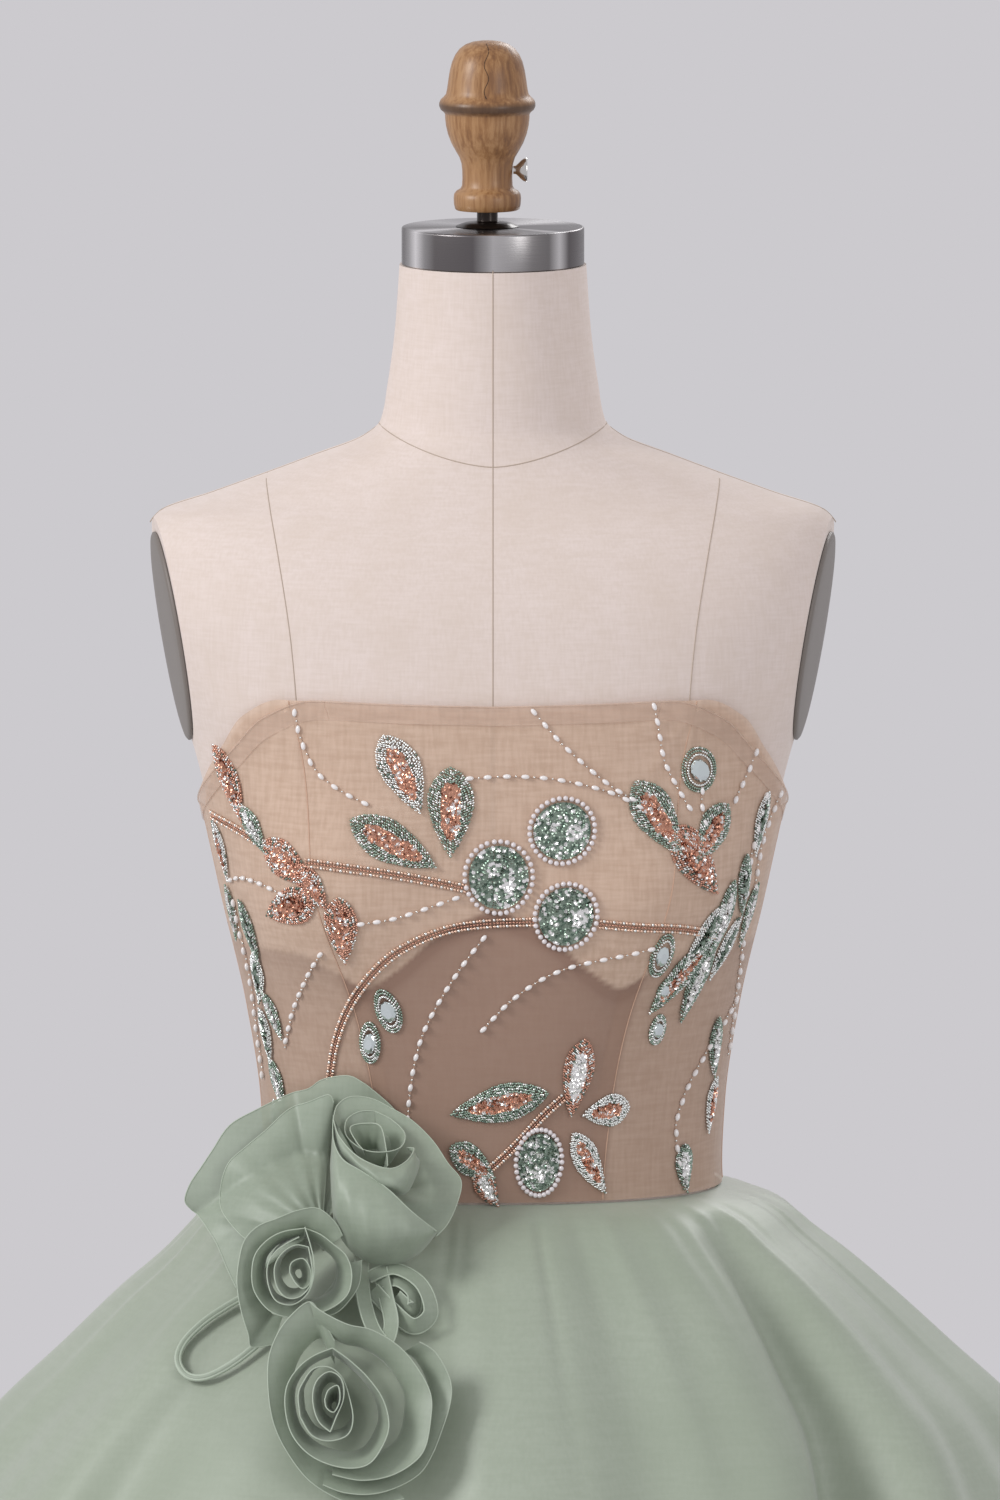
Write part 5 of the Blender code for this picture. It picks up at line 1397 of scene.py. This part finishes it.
def eased(points, share):
    """A place on a smooth line through points, from 0 at its start to 1 at its end."""
    spans = len(points) - 1
    at = min(share * spans, spans - 1e-6)
    return curve_point(points, int(at), at - int(at))


# A petal's rim and foot are lines of (x, height, out), with out measured from the rose's own
# back. A number for the foot draws the rim in to that share of its reach, at that depth.
Petal = namedtuple("Petal", "foot foot_out curl bow rim")
Rose = namedtuple("Rose", "name node x height depth strip_width petals")
LOWER_PETALS = (
    Petal(0.62, 5, 1.6, 0, (
        (-47, -139, 12), (-58, -141, 12), (-72, -142, 12), (-84, -138, 13), (-98, -129, 15),
        (-109, -115, 18), (-116, -101, 20), (-119, -85, 22), (-119, -69, 24), (-115, -57, 27),
        (-108, -47, 29), (-97, -39, 31), (-90, -49, 26), (-84, -60, 20))),
    Petal(0.80, 8, 1.6, 0, (
        (-39, -59, 30), (-31, -64, 28), (-25, -73, 26), (-22, -82, 24), (-23, -92, 22),
        (-27, -104, 20), (-32, -116, 19), (-39, -126, 18), (-52, -133, 18), (-65, -136, 18),
        (-79, -135, 19), (-90, -131, 20))),
    Petal(0.72, 8, 1.6, 0, (
        (-97, -39, 33), (-90, -44, 33), (-77, -50, 33), (-64, -53, 32), (-50, -61, 31),
        (-40, -72, 30), (-33, -85, 29), (-33, -98, 28), (-36, -112, 27), (-43, -120, 26),
        (-55, -126, 26), (-70, -128, 26), (-85, -125, 27))),
    Petal(0.80, 10, 1.4, 0, (
        (-85, -61, 38), (-95, -65, 37), (-103, -71, 36), (-109, -80, 35), (-110, -91, 34),
        (-107, -103, 33), (-100, -112, 33), (-90, -118, 33), (-77, -121, 33), (-66, -119, 34),
        (-59, -111, 34), (-55, -100, 35), (-58, -87, 36), (-66, -76, 37), (-76, -67, 38),
        (-85, -61, 38))),
    Petal(0.85, 12, 0.8, 0, (
        (-102, -95, 37), (-103, -84, 38), (-100, -77, 39), (-95, -71, 40), (-87, -70, 41),
        (-80, -75, 41), (-76, -85, 40), (-74, -96, 39), (-77, -104, 38), (-87, -107, 37),
        (-96, -104, 37), (-102, -95, 37))),
    Petal(0.6, 12, 0.8, 0, (
        (-86, -102, 41), (-92, -97, 41), (-95, -89, 41), (-95, -81, 42), (-92, -75, 43),
        (-86, -72, 43), (-80, -76, 43), (-79, -85, 42), (-83, -95, 41), (-86, -102, 41))),
    Petal(0.3, 14, 0.8, 0, (
        (-89, -86, 42), (-87, -81, 43), (-82, -79, 43), (-81, -86, 43), (-84, -92, 42),
        (-88, -90, 42), (-89, -86, 42))),
)
MIDDLE_PETALS = (
    Petal(0.55, 4, 1.6, 0, (
        (-80, -9, 20), (-84, -2, 22), (-93, 5, 24), (-104, 4, 24), (-115, 0, 24), (-125, -4, 23),
        (-132, -11, 22), (-135, -21, 22), (-136, -33, 20), (-134, -46, 17), (-130, -59, 12),
        (-128, -66, 8), (-117, -65, 7))),
    Petal(0.6, 5, 1.6, 0, (
        (-70, -22, 14), (-71, -33, 16), (-76, -41, 18), (-84, -48, 18), (-96, -50, 18),
        (-107, -50, 18), (-115, -48, 18))),
    Petal(0.72, 7, 1.5, 0, (
        (-100, -4, 30), (-112, -6, 29), (-121, -11, 28), (-127, -19, 27), (-128, -31, 26),
        (-125, -39, 25), (-118, -46, 25), (-108, -49, 25), (-97, -48, 25), (-85, -44, 25),
        (-77, -37, 26), (-75, -27, 27), (-78, -18, 28), (-85, -12, 29), (-92, -7, 30),
        (-100, -4, 30))),
    Petal(0.95, 8, 1.0, 0, (
        (-100, -3, 33), (-97, -12, 33), (-95, -21, 33), (-96, -31, 33), (-100, -38, 32),
        (-107, -42, 31), (-115, -40, 31), (-119, -33, 31), (-120, -24, 31), (-117, -17, 32),
        (-111, -12, 33), (-103, -8, 33))),
    Petal(0.75, 8, 0.8, 0, (
        (-98, -13, 33), (-105, -12, 33), (-112, -16, 33), (-116, -23, 33), (-115, -32, 32),
        (-110, -38, 32), (-103, -38, 32), (-97, -32, 33), (-96, -24, 33), (-98, -13, 33))),
    Petal(0.3, 8, 0.8, 0, (
        (-108, -26, 30), (-107, -21, 31), (-101, -19, 31), (-97, -24, 31), (-97, -31, 30),
        (-101, -34, 30), (-105, -31, 30), (-108, -26, 30))),
)
TOP_PETALS = (
    Petal(0.06, 8, 1.0, 5, (
        (-85, 49, 30), (-83, 55, 26), (-76, 59, 24), (-65, 58, 23), (-54, 53, 23), (-43, 47, 24),
        (-32, 37, 25), (-24, 26, 26), (-17, 17, 24), (-19, 6, 24), (-24, -4, 26), (-30, -10, 28))),
    Petal(((-87, 23, 14), (-86, 7, 18), (-84, -6, 22), (-77, -17, 22), (-67, -24, 20),
           (-52, -26, 18), (-39, -20, 18), (-30, -10, 20)), 0, 1.0, 14, (
        (-85, 51, 34), (-85, 40, 42), (-80, 31, 48), (-69, 25, 52), (-56, 17, 54), (-43, 5, 50),
        (-30, -6, 40))),
    Petal(((-85, 39, 28), (-80, 29, 34), (-69, 22, 38), (-56, 13, 40), (-47, 12, 38),
           (-42, 18, 34), (-39, 27, 28), (-43, 31, 26)), 0, 1.0, 8, (
        (-85, 49, 36), (-82, 42, 44), (-74, 34, 50), (-64, 29, 53), (-54, 27, 53), (-46, 30, 48),
        (-42, 35, 40), (-46, 35, 36))),
    Petal(0.5, 14, 1.0, 0, (
        (-56, 27, 44), (-57, 36, 42), (-60, 46, 38), (-68, 47, 34), (-76, 45, 34), (-73, 39, 40),
        (-69, 35, 44))),
    Petal(0.35, 12, 1.0, 0, (
        (-63, 52, 26), (-71, 52, 27), (-78, 48, 29), (-78, 41, 36), (-69, 35, 42), (-58, 34, 44),
        (-49, 36, 40), (-47, 42, 34), (-54, 48, 28), (-63, 52, 26))),
)
ROSES = (
    Rose("organza_rose_lower", "rose_lower", -84, -96, 188.0, 0.06, LOWER_PETALS),
    Rose("organza_rose_middle", "rose_middle", -104, -31, 142.0, 0.05, MIDDLE_PETALS),
    Rose("organza_rose_top", "rose_top", -63, 11, 105.0, 0.07, TOP_PETALS),
)

# The same organza as one doubled layer: a little lighter, and light shows through its edges.
organza_petal, tree, shader = surface_of("sage organza petal", "#9EAA98", 0.44,
                                         Sheen_Weight=0.4, Sheen_Roughness=0.35, Alpha=0.93)
woven(tree, shader, 1.0, 0.05, "#8F9C89", 0.4)
# Folded rims, ribbon edges and piping are a lighter sage: partly the denser doubled cloth, partly a
# painted highlight along each fold.
doubled_organza_fold_highlight, tree, shader = surface_of("sage organza fold", "#AFBCA9", 0.42, Sheen_Weight=0.4)


def rose_place(rose, spot):
    """A table's place in space: the rose's back leans with the skirt under it."""
    depth = rose.depth + ROSE_SLOPE * (rose.height - spot.y) + spot.z
    point = Vector((spot.x, -depth, spot.y))
    if cloth_gap(point) < 1.2:
        return seated(point, 1.2)
    return point


def petal_grid(rose, petal, across, rows, place):
    """Points of a petal, from its foot up to its rim."""
    grid = []
    for row in range(rows + 1):
        v = row / rows
        line = []
        for column in range(across + 1):
            u = column / across
            rim = eased(petal.rim, u)
            if isinstance(petal.foot, tuple):
                foot = eased(petal.foot, u)
            else:
                heart = Vector((rose.x, rose.height, petal.foot_out))
                foot = heart.lerp(Vector((rim.x, rim.y, petal.foot_out)), petal.foot)
            reach = v ** petal.curl
            spot = foot + (rim - foot) * reach
            spot.z = foot.z + (rim.z - foot.z) * v ** 0.75
            pinch = math.sin(u * 47.0 + 2 * v) * 0.8 * (1 - v) * v ** 0.3
            spot.z += petal.bow * math.sin(math.pi * v) * math.sin(math.pi * u) ** 0.6 + pinch
            line.append(place(rose, spot))
        grid.append(line)
    return grid


PETAL_COLUMNS = 84
PETAL_FOLD = 0.34
for rose in ROSES:
    grids = [petal_grid(rose, petal, PETAL_COLUMNS, 18, rose_place) for petal in rose.petals]
    bloom = sheet_piece(rose.name, grids, organza_petal, 75)
    fasten(bloom, "organza", rose.node)
    rims = [grid[-1] for grid in grids]
    fasten(rope(rose.name + "_folds", rims, PETAL_FOLD, doubled_organza_fold_highlight), "organza")

# ------------------------------------------------------------------ large petals
# Two broad petals of the same organza, folded double, fan out on the left behind the roses.

PETAL_LIFT = 0.4
PETAL_FRONT = -58.0
FAN = Rose("organza_petals", "", -91, -9, 0.0, 0.0, ())
FAN_PETALS = (
    ("organza_petal_outer", "petal_outer", (0.15, 0.1), Petal(0.06, 3, 1.0, 10, (
        (-46, 43, 3), (-54, 52, 3), (-62, 59, 3), (-70, 65, 4), (-78, 68, 4), (-91, 65, 5),
        (-99, 59, 6), (-110, 55, 8), (-127, 47, 10), (-141, 39, 12), (-150, 26, 13),
        (-156, 17, 14), (-162, 8, 14), (-165, -1, 13), (-162, -6, 12), (-155, -12, 9),
        (-148, -21, 7), (-142, -33, 5), (-137, -42, 4)))),
    ("organza_petal_inner", "petal_inner", (0.12, 0.09), Petal(0.06, 8, 1.0, 14, (
        (-85, 54, 14), (-88, 58, 14), (-99, 53, 16), (-110, 48, 18), (-121, 38, 20),
        (-132, 29, 22), (-141, 21, 24), (-145, 11, 24), (-146, -1, 22), (-142, -8, 20),
        (-135, -15, 17), (-128, -20, 14)))),
)


def draped(rose, spot):
    """A place on a petal laid over the dress; it bridges the dip at the waist."""
    depths = [PETAL_FRONT]
    for below in (0, 8, 16, 24, 36):
        under = seated(Vector((spot.x, -70.0, spot.y - below)), PETAL_LIFT, 160.0)
        depths.append(under.y + below)
    return Vector((spot.x, min(depths) - spot.z, spot.y))


for name, node, flat, petal in FAN_PETALS:
    grid = petal_grid(FAN, petal, PETAL_COLUMNS, 24, draped)
    leaf_piece = sheet_piece(name, [grid], organza_petal, 75)
    fasten(leaf_piece, "organza", node)
    fasten(rope(name + "_fold", [grid[-1]], PETAL_FOLD, doubled_organza_fold_highlight), "organza")

# ------------------------------------------------------------------ ribbon loops
# Bias strips of organza, pressed double and bent into loops, fill the gap between the roses.

# The loops' middle lines as places (x, height) and their distance off the cloth.
RIBBONS = (
    ("ribbon_loop_outer", ((-66, -32, 4.6), (-52, -27, 10), (-38, -34, 12), (-33, -48, 10),
                           (-42, -55, 7), (-54, -47, 4.6), (-64, -38, 4.6))),
    ("ribbon_loop_inner", ((-59, -34, 4.6), (-50, -33, 8), (-42, -39, 9), (-43, -47, 7),
                           (-52, -41, 4.8))),
    ("ribbon_loop_lower", ((-70, -22, 7), (-69, -40, 9), (-64, -55, 9), (-57, -62, 8),
                           (-54, -53, 7), (-57, -40, 7), (-60, -28, 6))),
)
RIBBON_FRONT = Vector((0.0, -0.94, 0.34))
RIBBON_HALF_WIDTH = 4.6


def over_cloth(rows, count):
    """Evenly spread points on a smooth line through a loop's rows, held off the cloth."""
    path = []
    for step in range(count + 1):
        x, height, off = eased(rows, step / count)
        path.append(seated(Vector((x, -150.0, height)), off, 140.0))
    return path


def directions(path):
    """The direction of a line at each of its points."""
    last = len(path) - 1
    return [(path[min(last, i + 1)] - path[max(0, i - 1)]).normalized() for i in range(last + 1)]


for name, rows in RIBBONS:
    path = over_cloth(rows, 60)
    grid = []
    for spot, run in zip(path, directions(path)):
        aside = run.cross(RIBBON_FRONT).normalized()
        across = (RIBBON_FRONT * 0.62 + aside * 0.78).normalized() * RIBBON_HALF_WIDTH
        grid.append([spot + across * (c - 3) / 3 + RIBBON_FRONT * 0.5 * (c % 2) for c in range(7)])
    ribbon = sheet_piece("organza_" + name, [grid], organza_petal, 75)
    fasten(ribbon, "organza", *[node for node in (name,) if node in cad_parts])
    edges = [[row[0] for row in grid], [row[-1] for row in grid]]
    fasten(rope("organza_" + name + "_edges", edges, 0.45, doubled_organza_fold_highlight), "organza")

# ------------------------------------------------------------------ cord loop
# A rouleau cord of organza, piped double, comes out from under the middle rose and goes back
# under it.

CORD_ROWS = (
    (-122, -43, 3), (-132, -46, 3), (-143, -52, 3), (-155, -60, 3), (-165, -70, 2), (-168, -79, 2),
    (-163, -86, 2), (-153, -86, 2), (-139, -78, 3), (-125, -67, 3), (-115, -57, 3),
)
CORD_WIDTH = 3.8
PIPING_RISE = Vector((0.0, -1.0, 0.36)) * 0.85
path = over_cloth(CORD_ROWS, 40)
cord = rope("rouleau_cord", [path], CORD_WIDTH / 2, organza_petal, resolution=4)
fasten(cord, "organza", "cord_loop")
piping = [[spot + run.cross(RIBBON_FRONT).normalized() * 1.05 * side + PIPING_RISE
           for spot, run in zip(path, directions(path))] for side in (-1, 1)]
fasten(rope("cord_piping", piping, 0.95, doubled_organza_fold_highlight, resolution=3), "organza")
